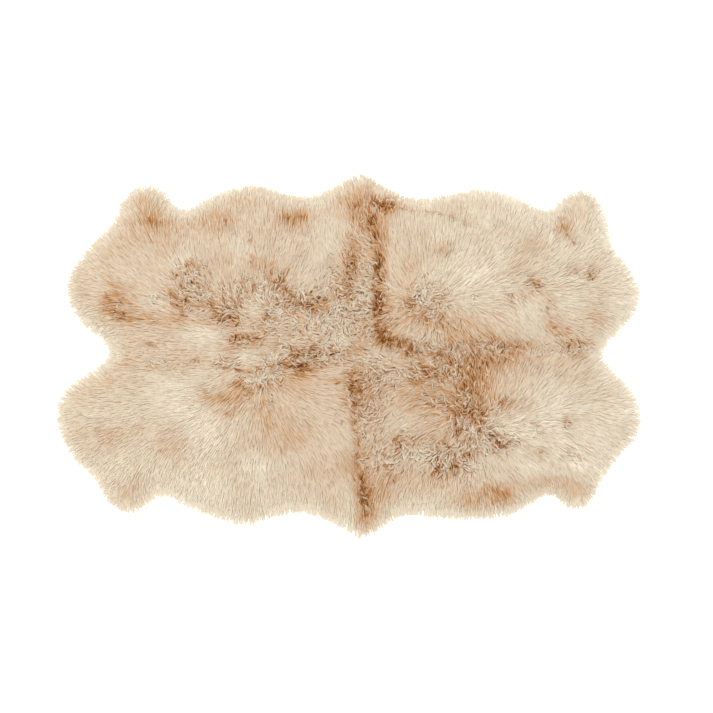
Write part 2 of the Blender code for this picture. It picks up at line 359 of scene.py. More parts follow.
# ---- The form of the wool, as the frame has it -------------------------------------------
# The top of the frame's wool slabs is read once, by looking down on them every few
# millimetres, and smoothed. All the locks lie on this form.

GRID_STEP = 0.005
GRID_MARGIN = 0.09      # the grid goes on this far past the frame's box
FORM_BLUR = 0.007       # smooths the form
COVER_BLUR = 0.013      # smooths the outline, by which the locks at the rim end

grid_low = np.array(cad_box[0][:2]) - GRID_MARGIN
grid_high = np.array(cad_box[1][:2]) + GRID_MARGIN


def tree_of(nodes):
    """Return a search tree of the faces of some frame nodes."""
    corners, faces = [], []
    for node in nodes:
        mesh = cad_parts[node].data
        faces += [[len(corners) + i for i in face.vertices] for face in mesh.polygons]
        corners += [vertex.co.copy() for vertex in mesh.vertices]
    return BVHTree.FromPolygons(corners, faces)


def blurred(grid, radius):
    """Return a grid smoothed over a radius in metres."""
    cells = radius / GRID_STEP
    offsets = np.arange(-math.ceil(3 * cells), math.ceil(3 * cells) + 1)
    kernel = np.exp(-0.5 * (offsets / cells) ** 2)
    kernel /= kernel.sum()
    for axis in (0, 1):
        grid = np.apply_along_axis(np.convolve, axis, grid, kernel, "same")
    return grid


def form_grid():
    """Return the wool's height over a grid of places, 0 where there is none, and its cover.

    The cover goes from 1 on the wool to 0 off it, and is a half at its outline.
    """
    tree = tree_of(["wool_" + skin for skin in SKINS])
    columns, rows = np.ceil((grid_high - grid_low) / GRID_STEP).astype(int)
    grid = np.zeros((rows, columns))
    for row in range(rows):
        y = grid_low[1] + row * GRID_STEP
        for column in range(columns):
            x = grid_low[0] + column * GRID_STEP
            place = tree.ray_cast((x, y, 1.0), (0.0, 0.0, -1.0))[0]
            if place is not None:
                grid[row, column] = place.z
    return blurred(grid, FORM_BLUR), blurred(1.0 * (grid > 0), COVER_BLUR)


form, cover = form_grid()


def read_grid(grid, places):
    """Return a grid's values at places (x, y), between its points."""
    at = (places[..., :2] - grid_low) / GRID_STEP
    limit = np.array(grid.shape[::-1]) - 1.001
    at = np.clip(at, 0, limit)
    cell = at.astype(int)
    part = at - cell
    x, y = cell[..., 0], cell[..., 1]
    fx, fy = part[..., 0], part[..., 1]
    near = grid[y, x] * (1 - fx) + grid[y, x + 1] * fx
    far = grid[y + 1, x] * (1 - fx) + grid[y + 1, x + 1] * fx
    return near * (1 - fy) + far * fy


def form_at(places):
    """Return the height of the wool's form at places (x, y)."""
    return read_grid(form, places)


# ---- The wool --------------------------------------------------------------------------
# Long lamb's wool, washed, carded and combed outwards, so that it lies in soft locks that
# all point away from the middle of each skin. Where the combing meets it stands in curls,
# with deeper wool between them, painted browner as the shade there. Cream at the tips, brown
# near the hide, partly its own colour and partly painted shade deep in the pile.

# How each skin's wool is combed: at (px, py) it points at an angle in degrees, from the
# right and turning to the far side.
COMBED = {
    "far_left": [
        # px, py, angle
        (140, 200, 98), (165, 205, 78), (160, 235, 104), (120, 250, 130), (100, 262, 150),
        (85, 280, 168), (80, 300, 184), (90, 325, 200), (140, 260, 136), (150, 285, 152),
        (200, 245, 92), (190, 215, 92), (225, 250, 99), (240, 225, 92), (260, 200, 92),
        (300, 210, 86), (300, 262, 62), (320, 285, 52), (325, 225, 82), (250, 270, 85),
        (130, 315, 176), (120, 340, 184), (170, 338, 178), (200, 330, 176), (215, 350, 180),
        (260, 335, 186), (310, 345, 178), (345, 340, 172), (355, 195, 104), (345, 225, 92),
        (352, 262, 160), (350, 300, 182), (366, 250, 150), (366, 300, 165), (330, 315, 20),
        (215, 295, 130), (180, 310, 160),
    ],
    "near_left": [
        (125, 368, 178), (160, 385, 174), (90, 405, 182), (78, 438, 202), (100, 460, 216),
        (130, 450, 212), (180, 402, 186), (150, 420, 200), (200, 430, 218), (220, 445, 236),
        (170, 470, 246), (200, 485, 254), (130, 500, 252), (155, 488, 268), (110, 485, 235),
        (230, 420, 232), (225, 400, 205), (250, 440, 262), (240, 480, 266), (220, 512, 262),
        (280, 430, 292), (270, 475, 272), (300, 420, 316), (300, 452, 300), (330, 402, 346),
        (322, 470, 286), (340, 440, 312), (345, 468, 302), (300, 500, 272), (340, 505, 276),
        (352, 530, 280), (250, 376, 178), (200, 372, 180), (300, 390, 335), (325, 375, 355),
        (265, 358, 180), (310, 358, 0), (340, 362, 350), (238, 397, 235), (248, 402, 265),
        (260, 404, 292), (278, 400, 318), (285, 378, 350), (225, 385, 195),
    ],
    "near_right": [
        (380, 400, 236), (372, 440, 232), (385, 470, 242), (420, 388, 214), (400, 425, 222),
        (440, 398, 150), (455, 375, 108), (480, 375, 102), (500, 388, 76), (520, 390, 62),
        (540, 382, 56), (548, 405, 22), (575, 372, 32), (600, 385, 18), (560, 362, 60),
        (600, 430, 334), (622, 410, 0), (622, 440, 325), (600, 452, 322), (590, 490, 296),
        (572, 497, 280), (560, 475, 298), (540, 470, 312), (500, 470, 300), (470, 470, 276),
        (440, 472, 262), (420, 500, 266), (400, 485, 246), (470, 508, 272), (510, 502, 290),
        (380, 522, 262), (365, 500, 262), (430, 440, 200), (500, 435, 350), (540, 435, 345),
        (570, 440, 335), (460, 440, 250), (395, 360, 160), (430, 360, 150), (520, 358, 80),
    ],
    "far_right": [
        (395, 240, 104), (390, 275, 118), (385, 300, 165), (408, 262, 112), (420, 240, 96),
        (440, 250, 72), (460, 272, 54), (480, 210, 86), (480, 242, 62), (500, 212, 80),
        (530, 218, 66), (500, 262, 38), (490, 292, 26), (540, 238, 52), (520, 310, 306),
        (465, 320, 312), (490, 335, 305), (535, 332, 308), (580, 300, 2), (600, 322, 350),
        (622, 328, 330), (625, 292, 0), (620, 268, 22), (598, 240, 40), (590, 215, 62),
        (578, 204, 84), (564, 214, 104), (560, 260, 32), (408, 325, 232), (430, 330, 268),
        (395, 318, 205), (400, 342, 250), (560, 338, 320), (420, 210, 92), (385, 215, 96),
        (375, 190, 66), (445, 205, 90), (440, 300, 20), (395, 205, 80), (450, 345, 285),
    ],
}

# Where the wool is browner (+) or paler (-): centre, half sizes, the turn of the longer
# one in degrees, and how much, on a scale from cream at 0 to brown at 1. The brown spots in
# the curls and along the seams are partly the wool's own brown and partly painted shade where
# it parts.
TONES = [
    # px, py, half_x, half_y, turn, amount
    # whole parts of the rug and its rim
    (600, 225, 12, 26, 0, -0.14), (632, 285, 10, 30, 0, -0.10), (620, 330, 18, 14, 0, -0.08),
    (630, 405, 14, 26, 0, -0.10), (606, 480, 12, 20, 0, -0.14), (480, 196, 60, 8, 0, -0.08),
    (122, 215, 8, 18, 20, 0.14), (138, 200, 10, 8, 0, 0.08), (238, 196, 12, 8, 0, 0.08),
    (110, 262, 62, 48, 0, 0.06), (250, 222, 110, 24, 0, 0.07), (130, 490, 100, 40, 0, -0.04),
    (600, 425, 60, 60, 0, -0.08), (600, 265, 56, 70, 0, -0.08), (440, 400, 90, 50, 0, 0.08),
    (480, 250, 80, 50, 0, -0.04), (200, 490, 60, 40, 0, -0.06),
    # the far left skin
    (146, 208, 26, 20, 0, 0.08), (152, 221, 11, 8, -35, 0.26), (154, 223, 5, 5, 0, 0.12),
    (166, 226, 10, 4, -20, 0.12), (132, 224, 8, 6, 0, 0.08), (156, 238, 24, 12, 0, 0.10),
    (192, 223, 20, 10, 0, 0.06), (176, 244, 16, 8, 0, 0.05), (94, 262, 10, 10, 0, 0.08),
    (107, 303, 6, 8, 0, 0.30), (114, 310, 13, 10, 0, 0.20), (126, 316, 8, 6, 0, 0.22),
    (116, 318, 15, 6, 0, 0.12), (113, 287, 8, 13, 0, 0.20), (125, 302, 11, 4, -30, 0.12),
    (128, 307, 7, 2.5, -45, -0.22), (145, 318, 22, 9, 0, 0.18), (166, 322, 20, 12, 0, 0.12),
    (152, 344, 13, 2, -12, 0.18), (152, 340, 26, 9, 0, 0.08), (152, 300, 12, 7, 0, -0.10),
    (179, 276, 6, 5, 0, 0.32), (188, 270, 4, 5, 0, 0.34), (196, 265, 9, 4, 10, 0.20),
    (186, 287, 7, 3, -50, 0.14), (194, 283, 4, 3, 0, 0.14), (172, 296, 4, 9, 10, 0.34),
    (182, 303, 8, 8, 0, 0.22), (188, 300, 3, 8, -10, 0.22), (181, 318, 8, 5, 0, 0.18),
    (202, 305, 12, 4, 0, 0.14), (211, 304, 6, 5, 0, 0.24), (194, 290, 26, 26, 0, 0.04),
    (205, 334, 26, 8, 0, -0.16), (226, 225, 15, 10, 0, 0.10), (227, 222, 6, 6, 0, 0.08),
    (286, 219, 9, 7, 0, 0.22), (300, 217, 9, 7, 0, 0.18), (292, 226, 18, 8, 0, 0.06),
    (251, 242, 7, 3, 0, 0.16), (252, 260, 5, 6, 0, 0.14), (300, 253, 11, 8, 0, 0.08),
    (272, 272, 4, 9, 0, 0.14), (285, 271, 4, 10, -25, 0.12), (275, 284, 9, 4, 0, 0.24),
    (290, 293, 11, 4, -40, 0.16), (304, 303, 11, 3, -20, 0.18), (311, 308, 9, 5, 0, 0.34),
    (321, 300, 7, 4, 0, 0.24), (325, 307, 4, 6, 0, 0.26), (250, 290, 12, 9, 0, 0.12),
    (240, 282, 14, 8, 0, 0.12), (212, 309, 7, 8, 0, 0.14), (227, 318, 12, 9, 0, 0.24),
    (238, 309, 5, 10, 0, 0.22), (237, 327, 4, 7, -15, 0.18), (236, 338, 7, 5, 0, 0.36),
    (249, 340, 13, 4, 0, 0.18), (268, 312, 5, 13, -25, 0.20), (290, 308, 8, 8, 0, 0.14),
    (262, 336, 10, 10, 0, 0.16), (290, 330, 56, 16, 0, 0.05), (330, 240, 16, 20, 0, -0.06),
    (308, 268, 16, 10, 50, -0.06), (305, 347, 16, 5, 0, 0.14), (180, 222, 16, 14, 0, 0.08),
    (300, 217, 14, 9, 0, 0.12), (262, 262, 16, 10, 0, 0.10), (226, 262, 16, 10, 0, 0.12),
    (180, 268, 26, 13, 15, -0.18), (150, 262, 14, 10, 0, -0.06), (268, 286, 9, 8, 0, -0.15),
    (290, 260, 6, 6, 0, -0.12), (300, 290, 8, 9, 0, -0.16), (262, 306, 16, 15, 0, -0.12),
    (286, 320, 14, 10, 0, -0.10), (245, 284, 10, 8, 0, -0.08), (142, 325, 22, 10, 0, 0.10),
    (121, 289, 9, 5, 0, 0.07), (150, 309, 20, 5, 0, 0.06), (155, 342, 10, 6, 0, 0.07),
    (245, 350, 20, 5, 0, 0.06), (338, 262, 8, 14, 0, 0.07), (265, 232, 16, 12, 0, 0.05),
    (235, 203, 22, 8, 0, 0.07), (207, 325, 9, 5, 0, 0.06), (185, 283, 12, 9, 0, -0.05),
    (196, 296, 8, 8, 0, -0.06), (268, 285, 8, 5, 0, -0.08), (284, 275, 9, 7, 0, -0.07),
    (298, 319, 8, 7, 0, -0.07), (228, 312, 10, 4, 0, -0.06), (331, 333, 9, 6, 0, -0.04),
    (298, 213, 7, 5, 0, -0.09), (275, 221, 12, 7, 0, 0.06), (353, 275, 5, 34, 0, 0.06),
    (311, 314, 6, 7, 0, 0.08), (277, 347, 11, 5, 0, 0.07), (249, 305, 7, 7, 0, 0.06),
    (267, 266, 7, 6, 0, -0.06), (303, 299, 9, 4, 0, -0.07), (324, 281, 6, 8, 0, -0.07),
    (274, 314, 8, 7, 0, -0.07), (299, 328, 9, 5, 0, -0.06), (132, 297, 14, 8, 0, 0.06),
    (85, 292, 8, 14, 0, 0.06), (231, 352, 8, 6, 0, 0.18), (345, 337, 9, 8, 0, -0.22),
    (300, 340, 18, 6, 0, -0.06), (240, 332, 8, 6, 0, -0.10), (324, 322, 20, 10, 0, -0.08),
    (135, 308, 10, 6, 0, 0.06), (155, 330, 20, 6, 0, 0.05), (215, 322, 10, 8, 0, 0.10),
    (245, 265, 22, 8, 0, 0.08), (225, 300, 8, 10, 0, 0.08), (230, 348, 14, 6, 0, 0.08),
    (262, 342, 20, 5, 0, 0.05), (104, 300, 10, 9, 0, -0.06), (145, 246, 20, 8, 0, -0.06),
    # the seam between the far skins, with painted shade where the wool parts
    (355, 206, 5, 8, 0, 0.30), (371, 223, 6, 8, 20, 0.42), (375, 238, 4, 7, 0, 0.34),
    (383, 206, 10, 5, -30, 0.42), (393, 205, 6, 4, 0, 0.30), (384, 219, 8, 10, 0, 0.16),
    (364, 212, 10, 14, 0, 0.10), (380, 262, 7, 12, 0, 0.46), (381, 279, 6, 9, -40, 0.44),
    (377, 305, 5, 16, 0, 0.50), (379, 293, 6, 8, 0, 0.28), (385, 305, 7, 12, 0, 0.22),
    (380, 326, 7, 11, 0, 0.34), (386, 336, 8, 8, -35, 0.36), (350, 264, 8, 12, 0, 0.34),
    (349, 286, 9, 15, 0, 0.28), (350, 306, 10, 12, 0, 0.14), (352, 236, 10, 16, 0, 0.10),
    (383, 232, 6, 12, 0, 0.24), (352, 210, 9, 10, 0, 0.12), (336, 290, 7, 12, 0, 0.10),
    (366, 290, 8, 50, 0, 0.08), (360, 190, 20, 14, 0, 0.16), (386, 206, 11, 7, 0, 0.24),
    (402, 207, 9, 5, 0, 0.14), (340, 200, 12, 10, 0, 0.10), (338, 290, 7, 16, 0, 0.10),
    (355, 252, 11, 16, 0, 0.08), (378, 262, 4, 12, 0, 0.24), (379, 301, 4, 11, 0, 0.26),
    (375, 205, 9, 12, 0, 0.18), (358, 218, 8, 12, 0, 0.14), (366, 232, 6, 6, 0, 0.10),
    (350, 252, 9, 10, 0, 0.12), (356, 268, 8, 8, 0, 0.10), (348, 292, 6, 14, 0, 0.12),
    (360, 330, 10, 20, 0, 0.06), (358, 352, 8, 10, 0, 0.10), (340, 205, 16, 16, 0, 0.08),
    (387, 228, 6, 9, 0, -0.16), (384, 265, 5, 7, 0, -0.16), (380, 290, 8, 7, 0, -0.14),
    (353, 263, 9, 8, 0, 0.07), (372, 326, 7, 9, 0, -0.06), (397, 204, 9, 7, 0, 0.05),
    (371, 318, 6, 12, 0, -0.05), (387, 198, 7, 6, 0, -0.09), (379, 277, 4, 6, 0, 0.10),
    (381, 340, 7, 5, 0, -0.08),
    # the near left skin
    (168, 360, 9, 6, 0, 0.06), (155, 371, 13, 4, 0, 0.14),
    (192, 362, 15, 6, 0, 0.12), (127, 366, 10, 5, -20, 0.08), (188, 371, 4, 5, 0, 0.12),
    (145, 385, 6, 6, 0, 0.06), (166, 390, 22, 10, 0, -0.08), (207, 394, 12, 12, 0, 0.22),
    (226, 401, 17, 12, 20, 0.20), (102, 428, 4, 6, -40, 0.20), (104, 436, 6, 15, 0, 0.12),
    (84, 432, 6, 6, 0, 0.08), (118, 437, 11, 9, 0, 0.12), (146, 427, 9, 5, 15, 0.15),
    (138, 434, 9, 8, 0, 0.06), (166, 444, 15, 14, 0, 0.10), (163, 449, 6, 4, 0, 0.18),
    (180, 448, 10, 9, 0, 0.10), (175, 430, 10, 10, 0, 0.06), (130, 493, 12, 15, 0, 0.12),
    (138, 475, 6, 14, 0, 0.10), (178, 470, 5, 6, 0, 0.08), (206, 444, 15, 26, 0, -0.12),
    (194, 484, 18, 22, 0, -0.06), (296, 352, 7, 6, 0, 0.26), (311, 356, 11, 3, 0, 0.26),
    (289, 364, 11, 4, 0, 0.28), (303, 367, 11, 5, 0, 0.34), (315, 350, 13, 4, 0, 0.18),
    (326, 360, 14, 7, 0, 0.14), (270, 363, 11, 2.5, 0, 0.08), (300, 376, 12, 4, 0, 0.16),
    (236, 370, 15, 2, -5, 0.22), (262, 369, 15, 2, 8, 0.14), (226, 360, 6, 6, 0, 0.18),
    (222, 367, 6, 3, 0, 0.14), (250, 358, 20, 6, 0, -0.06), (240, 384, 5, 4, 0, 0.28),
    (248, 389, 11, 3, -10, 0.20), (263, 386, 9, 3, 0, 0.22), (277, 388, 11, 2, 0, 0.12),
    (230, 415, 6, 3, 30, 0.20), (240, 411, 8, 5, 0, 0.08), (265, 404, 15, 10, 0, 0.10),
    (268, 423, 7, 7, 0, 0.14), (270, 440, 20, 16, 0, 0.09), (286, 446, 10, 8, 0, 0.12),
    (244, 445, 10, 12, 0, 0.08), (300, 430, 15, 11, 0, 0.08), (312, 424, 6, 9, 0, 0.08),
    (320, 470, 26, 14, 0, 0.10), (345, 460, 9, 12, 0, 0.10), (331, 500, 15, 15, 0, 0.08),
    (242, 492, 13, 12, 0, 0.10), (216, 432, 13, 18, 0, -0.12), (256, 466, 17, 12, 0, -0.08),
    (335, 381, 7, 3, 0, 0.14), (285, 380, 40, 10, 0, 0.08), (345, 400, 10, 26, 0, 0.05),
    (305, 370, 13, 7, 0, 0.18), (286, 425, 9, 12, 0, 0.10), (299, 441, 14, 8, 0, 0.06),
    (190, 406, 26, 12, 0, -0.18), (194, 430, 18, 12, 0, -0.10), (240, 396, 14, 6, 0, 0.12),
    (302, 504, 18, 8, 0, -0.09), (215, 481, 14, 14, 0, -0.09), (186, 362, 8, 6, 0, -0.10),
    (262, 360, 12, 8, 0, -0.06), (190, 415, 24, 14, 0, -0.08), (255, 462, 14, 9, 0, -0.07),
    (288, 492, 10, 8, 0, -0.06), (300, 438, 12, 8, 0, 0.08), (240, 440, 16, 12, 0, -0.04),
    (185, 475, 16, 10, 0, -0.05), (130, 440, 16, 10, 0, -0.05), (250, 380, 15, 7, 0, -0.12),
    (175, 375, 18, 6, 0, 0.06), (300, 390, 12, 9, 0, 0.06), (222, 366, 8, 5, 0, -0.06),
    (292, 353, 6, 7, 0, -0.07), (266, 373, 7, 8, 0, -0.07), (212, 495, 20, 8, 0, -0.06),
    (285, 498, 14, 9, 0, -0.06), (252, 480, 8, 14, 0, 0.05),
    # the seam between the near skins, with painted shade where the wool parts
    (353, 385, 9, 17, 0, 0.30), (357, 407, 7, 16, 0, 0.24), (357, 440, 5, 20, 0, 0.26),
    (355, 470, 4, 14, 0, 0.20), (362, 476, 5, 12, 0, 0.34), (364, 492, 8, 15, 0, 0.42),
    (366, 511, 9, 12, 0, 0.30), (360, 522, 7, 10, 0, 0.10), (352, 352, 9, 11, 0, 0.14),
    (375, 482, 14, 16, 0, 0.20), (381, 498, 12, 12, 0, 0.18), (367, 526, 12, 12, 0, 0.24),
    (362, 460, 8, 10, 0, 0.12), (345, 386, 6, 8, 0, -0.14), (357, 403, 8, 10, 0, -0.10),
    (365, 505, 8, 10, 0, -0.07), (371, 363, 10, 7, 0, -0.08), (353, 364, 5, 6, 0, 0.12),
    (362, 517, 7, 7, 0, -0.10), (357, 352, 5, 9, 0, 0.06),
    # the near right skin
    (370, 372, 15, 8, 0, 0.18), (364, 391, 12, 13, 0, 0.14), (372, 406, 13, 16, 0, 0.10),
    (425, 374, 15, 8, 0, 0.22), (440, 360, 22, 10, 0, 0.12), (428, 366, 5, 4, 0, -0.18),
    (414, 382, 13, 6, 0, 0.10), (472, 372, 15, 18, 0, 0.26), (470, 391, 15, 12, 0, 0.22),
    (490, 362, 22, 5, 0, 0.20), (455, 375, 8, 15, 0, 0.12), (470, 412, 16, 9, 0, 0.26),
    (477, 420, 6, 8, 0, 0.08), (455, 430, 3, 9, 0, 0.16), (450, 402, 17, 11, 0, 0.12),
    (472, 431, 6, 6, 0, -0.30), (480, 431, 3, 8, 0, 0.20), (400, 442, 6, 6, 0, 0.26),
    (412, 440, 4, 4, 0, 0.16), (386, 454, 10, 3, 0, 0.16), (385, 465, 6, 4, 0, 0.20),
    (443, 445, 8, 5, 0, 0.20), (448, 437, 11, 4, 0, 0.10), (438, 465, 4, 8, 0, 0.40),
    (455, 465, 4, 9, -10, 0.36), (447, 468, 13, 11, 0, 0.14), (432, 476, 4, 7, 0, 0.14),
    (470, 455, 9, 4, 0, 0.10), (392, 480, 4, 7, 0, 0.15), (378, 470, 11, 11, 0, 0.08),
    (410, 420, 26, 18, 0, 0.05), (490, 495, 26, 9, 0, 0.14), (500, 492, 14, 6, -15, 0.16),
    (480, 506, 20, 6, 0, 0.06), (420, 490, 24, 11, 0, 0.08), (410, 512, 34, 5, 0, -0.10),
    (515, 347, 18, 5, 0, 0.28), (500, 357, 19, 5, 0, 0.28), (498, 347, 11, 8, 0, 0.14),
    (567, 346, 8, 5, 0, 0.26), (578, 355, 8, 3, 0, 0.20), (572, 342, 15, 6, 0, 0.14),
    (548, 356, 6, 1.5, 25, 0.20), (520, 368, 30, 12, 0, 0.12), (510, 390, 24, 20, 0, 0.12),
    (508, 403, 11, 6, 0, 0.14), (502, 400, 4, 2, 0, 0.30), (525, 402, 10, 10, 0, 0.10),
    (560, 375, 12, 9, 0, 0.10), (586, 377, 11, 10, 0, 0.12), (600, 395, 19, 8, 0, 0.10),
    (565, 360, 22, 8, 0, 0.08), (555, 405, 11, 22, 0, -0.10), (545, 422, 14, 14, 0, -0.06),
    (525, 430, 20, 10, 0, -0.10), (500, 425, 13, 8, 0, -0.14), (565, 420, 5, 6, 0, 0.22),
    (582, 418, 11, 3, 0, 0.14), (535, 425, 5, 2, -30, 0.16), (516, 430, 3, 4, 0, 0.14),
    (497, 442, 11, 7, 0, 0.36), (485, 441, 6, 3, 0, -0.20), (501, 446, 7, 4, 0, 0.16),
    (511, 440, 3, 3, 0, 0.20), (541, 452, 4, 9, -20, 0.18), (527, 449, 3, 3, 0, 0.16),
    (567, 453, 6, 6, 0, 0.12), (556, 481, 25, 6, 0, 0.14), (530, 484, 25, 7, 0, 0.08),
    (570, 492, 24, 10, 0, 0.10), (590, 440, 24, 16, 0, -0.06), (540, 468, 20, 8, 0, -0.08),
    (576, 465, 17, 8, 0, -0.08), (410, 478, 24, 12, 0, 0.16), (402, 493, 14, 9, 0, 0.10),
    (442, 478, 12, 8, 0, 0.10), (488, 492, 18, 11, 0, 0.16), (478, 506, 22, 9, 0, 0.12),
    (506, 495, 11, 8, 0, 0.08), (460, 360, 30, 12, 0, 0.22), (488, 395, 5, 18, 0, 0.12),
    (405, 402, 18, 12, 0, 0.12), (470, 438, 10, 7, 0, 0.10), (518, 404, 22, 18, 0, -0.22),
    (521, 426, 12, 11, 0, -0.18), (550, 425, 14, 10, 0, -0.12), (540, 443, 16, 9, 0, -0.14),
    (515, 440, 16, 9, 0, -0.10), (580, 462, 14, 12, 0, -0.12), (530, 470, 14, 10, 0, -0.10),
    (560, 450, 20, 14, 0, -0.06), (525, 380, 20, 10, 0, -0.08), (374, 432, 10, 16, 0, -0.08),
    (430, 456, 18, 9, 0, -0.08), (512, 455, 16, 10, 0, -0.09), (570, 458, 28, 20, 0, -0.07),
    (618, 412, 16, 16, 0, -0.07), (578, 410, 7, 6, 0, -0.06), (408, 496, 24, 10, 0, -0.08),
    (390, 415, 8, 18, 0, -0.07), (548, 385, 8, 20, 0, -0.06), (395, 378, 14, 5, 0, -0.08),
    (472, 417, 15, 10, 0, 0.08), (465, 458, 11, 6, 0, 0.16), (395, 450, 16, 8, 0, 0.08),
    (480, 380, 16, 6, 0, 0.08), (370, 376, 10, 8, 0, 0.06), (490, 478, 12, 8, 0, 0.05),
    (470, 393, 6, 9, 0, -0.12), (475, 417, 9, 7, 0, 0.12), (495, 441, 9, 7, 0, -0.10),
    (430, 370, 8, 6, 0, -0.07), (505, 495, 8, 6, 0, -0.05), (509, 388, 7, 6, 0, 0.08),
    (486, 383, 8, 6, 0, 0.06), (480, 488, 9, 12, 0, 0.05), (408, 377, 12, 6, 0, -0.05),
    (433, 368, 8, 6, 0, -0.10), (463, 374, 8, 6, 0, 0.10), (490, 435, 6, 8, 0, -0.08),
    (508, 446, 9, 4, 0, -0.07), (520, 356, 9, 8, 0, 0.07), (418, 502, 12, 7, 0, -0.07),
    (443, 485, 8, 9, 0, 0.08), (466, 461, 8, 5, 0, 0.08), (512, 478, 16, 6, 0, -0.06),
    (592, 477, 12, 9, 0, -0.06), (622, 403, 8, 7, 0, -0.07), (420, 401, 6, 6, 0, 0.07),
    # the long seam's right half, with painted shade where the wool parts
    (391, 341, 15, 5, -15, 0.38), (410, 350, 12, 5, -25, 0.28), (404, 353, 9, 5, 0, 0.14),
    (455, 350, 24, 6, 0, 0.14), (405, 350, 30, 8, -15, 0.08), (435, 352, 18, 7, 0, 0.10),
    (515, 350, 12, 7, 0, 0.16), (488, 348, 8, 8, 0, 0.10), (400, 341, 12, 5, 0, 0.08),
    (468, 352, 8, 12, 0, 0.08), (475, 356, 9, 7, 0, -0.11), (500, 355, 8, 10, 0, -0.08),
    (503, 343, 8, 5, 0, -0.10), (483, 344, 6, 5, 0, 0.08),
    # the far right skin
    (408, 210, 13, 2.5, -8, 0.16), (432, 213, 14, 2.5, -8, 0.18), (454, 218, 12, 3, -18, 0.16),
    (472, 227, 10, 3, -28, 0.12), (450, 205, 11, 3, 0, 0.12), (425, 231, 8, 12, 0, 0.08),
    (445, 250, 11, 9, 25, 0.20), (424, 255, 8, 5, 0, 0.10), (410, 263, 13, 10, 0, 0.10),
    (407, 305, 7, 5, -30, 0.20), (413, 300, 8, 3, 0, 0.14), (423, 299, 4, 4, 0, 0.26),
    (432, 300, 5, 4, 0, 0.14), (441, 299, 4, 11, 0, 0.14), (420, 321, 11, 12, 0, 0.12),
    (437, 322, 14, 10, 0, 0.12), (425, 320, 3, 10, 0, 0.14), (470, 265, 34, 26, 0, -0.08),
    (447, 339, 17, 7, 0, 0.14), (480, 336, 22, 9, 0, 0.12), (432, 334, 14, 6, 0, -0.06),
    (506, 228, 13, 5, 0, 0.12), (497, 224, 6, 4, -30, 0.10), (530, 247, 17, 9, 0, 0.14),
    (512, 264, 11, 16, 0, 0.08), (522, 286, 20, 14, 0, 0.10), (533, 282, 6, 8, -30, 0.20),
    (538, 287, 3, 4, 0, 0.20), (562, 230, 7, 14, -30, 0.22), (564, 228, 5, 8, -20, 0.10),
    (572, 243, 6, 4, 0, 0.22), (590, 270, 7, 11, -10, 0.16), (590, 277, 3, 5, 0, 0.22),
    (572, 270, 7, 7, 0, 0.12), (576, 281, 15, 3, 0, -0.12), (600, 293, 10, 10, 0, 0.08),
    (590, 312, 15, 13, 0, 0.10), (602, 320, 12, 10, 0, 0.08), (548, 308, 5, 13, 0, 0.15),
    (545, 300, 9, 9, 0, 0.08), (510, 302, 13, 8, 0, 0.10), (523, 298, 3, 3, 0, 0.20),
    (530, 322, 24, 15, -45, -0.10), (570, 301, 16, 11, 0, -0.06), (562, 331, 18, 8, -15, 0.16),
    (576, 343, 12, 7, 0, 0.18), (545, 343, 14, 5, 0, 0.08), (500, 339, 26, 5, 0, 0.18),
    (425, 299, 14, 8, 0, -0.26), (405, 268, 12, 10, 0, 0.07), (440, 240, 13, 8, 0, -0.14),
    (470, 276, 18, 12, 0, -0.18), (500, 264, 12, 18, 0, -0.12), (520, 281, 18, 9, 0, -0.15),
    (565, 219, 8, 11, 0, 0.16), (567, 236, 6, 6, 0, 0.10), (399, 321, 10, 12, 0, 0.13),
    (446, 325, 16, 9, 0, 0.12), (476, 325, 16, 9, 0, 0.11), (560, 325, 20, 8, 0, 0.14),
    (590, 322, 14, 8, 0, 0.07), (481, 343, 12, 6, 0, 0.08), (485, 300, 32, 13, 0, -0.10),
    (400, 296, 10, 12, 0, -0.08), (465, 268, 16, 14, 0, -0.06), (455, 222, 40, 12, 0, -0.07),
    (552, 240, 8, 8, 0, -0.14), (430, 282, 10, 8, 0, -0.06), (616, 296, 12, 18, 0, -0.05),
    (578, 341, 12, 4, 0, -0.16), (438, 337, 7, 8, 0, -0.08), (390, 327, 9, 6, 0, 0.08),
    (527, 226, 18, 6, 0, -0.05), (553, 241, 6, 6, 0, -0.05), (455, 202, 8, 6, 0, 0.09),
    (560, 333, 26, 6, 0, 0.05), (568, 239, 7, 4, 0, 0.08), (480, 201, 6, 6, 0, -0.10),
    (446, 280, 8, 18, 0, -0.05), (431, 282, 5, 9, 0, -0.06), (428, 311, 5, 7, 0, -0.07),
    (601, 208, 6, 16, 0, -0.07), (516, 221, 10, 8, 0, -0.06), (508, 245, 6, 5, 0, -0.07),
    (539, 264, 7, 10, 0, 0.07), (618, 292, 12, 24, 0, -0.04),
]

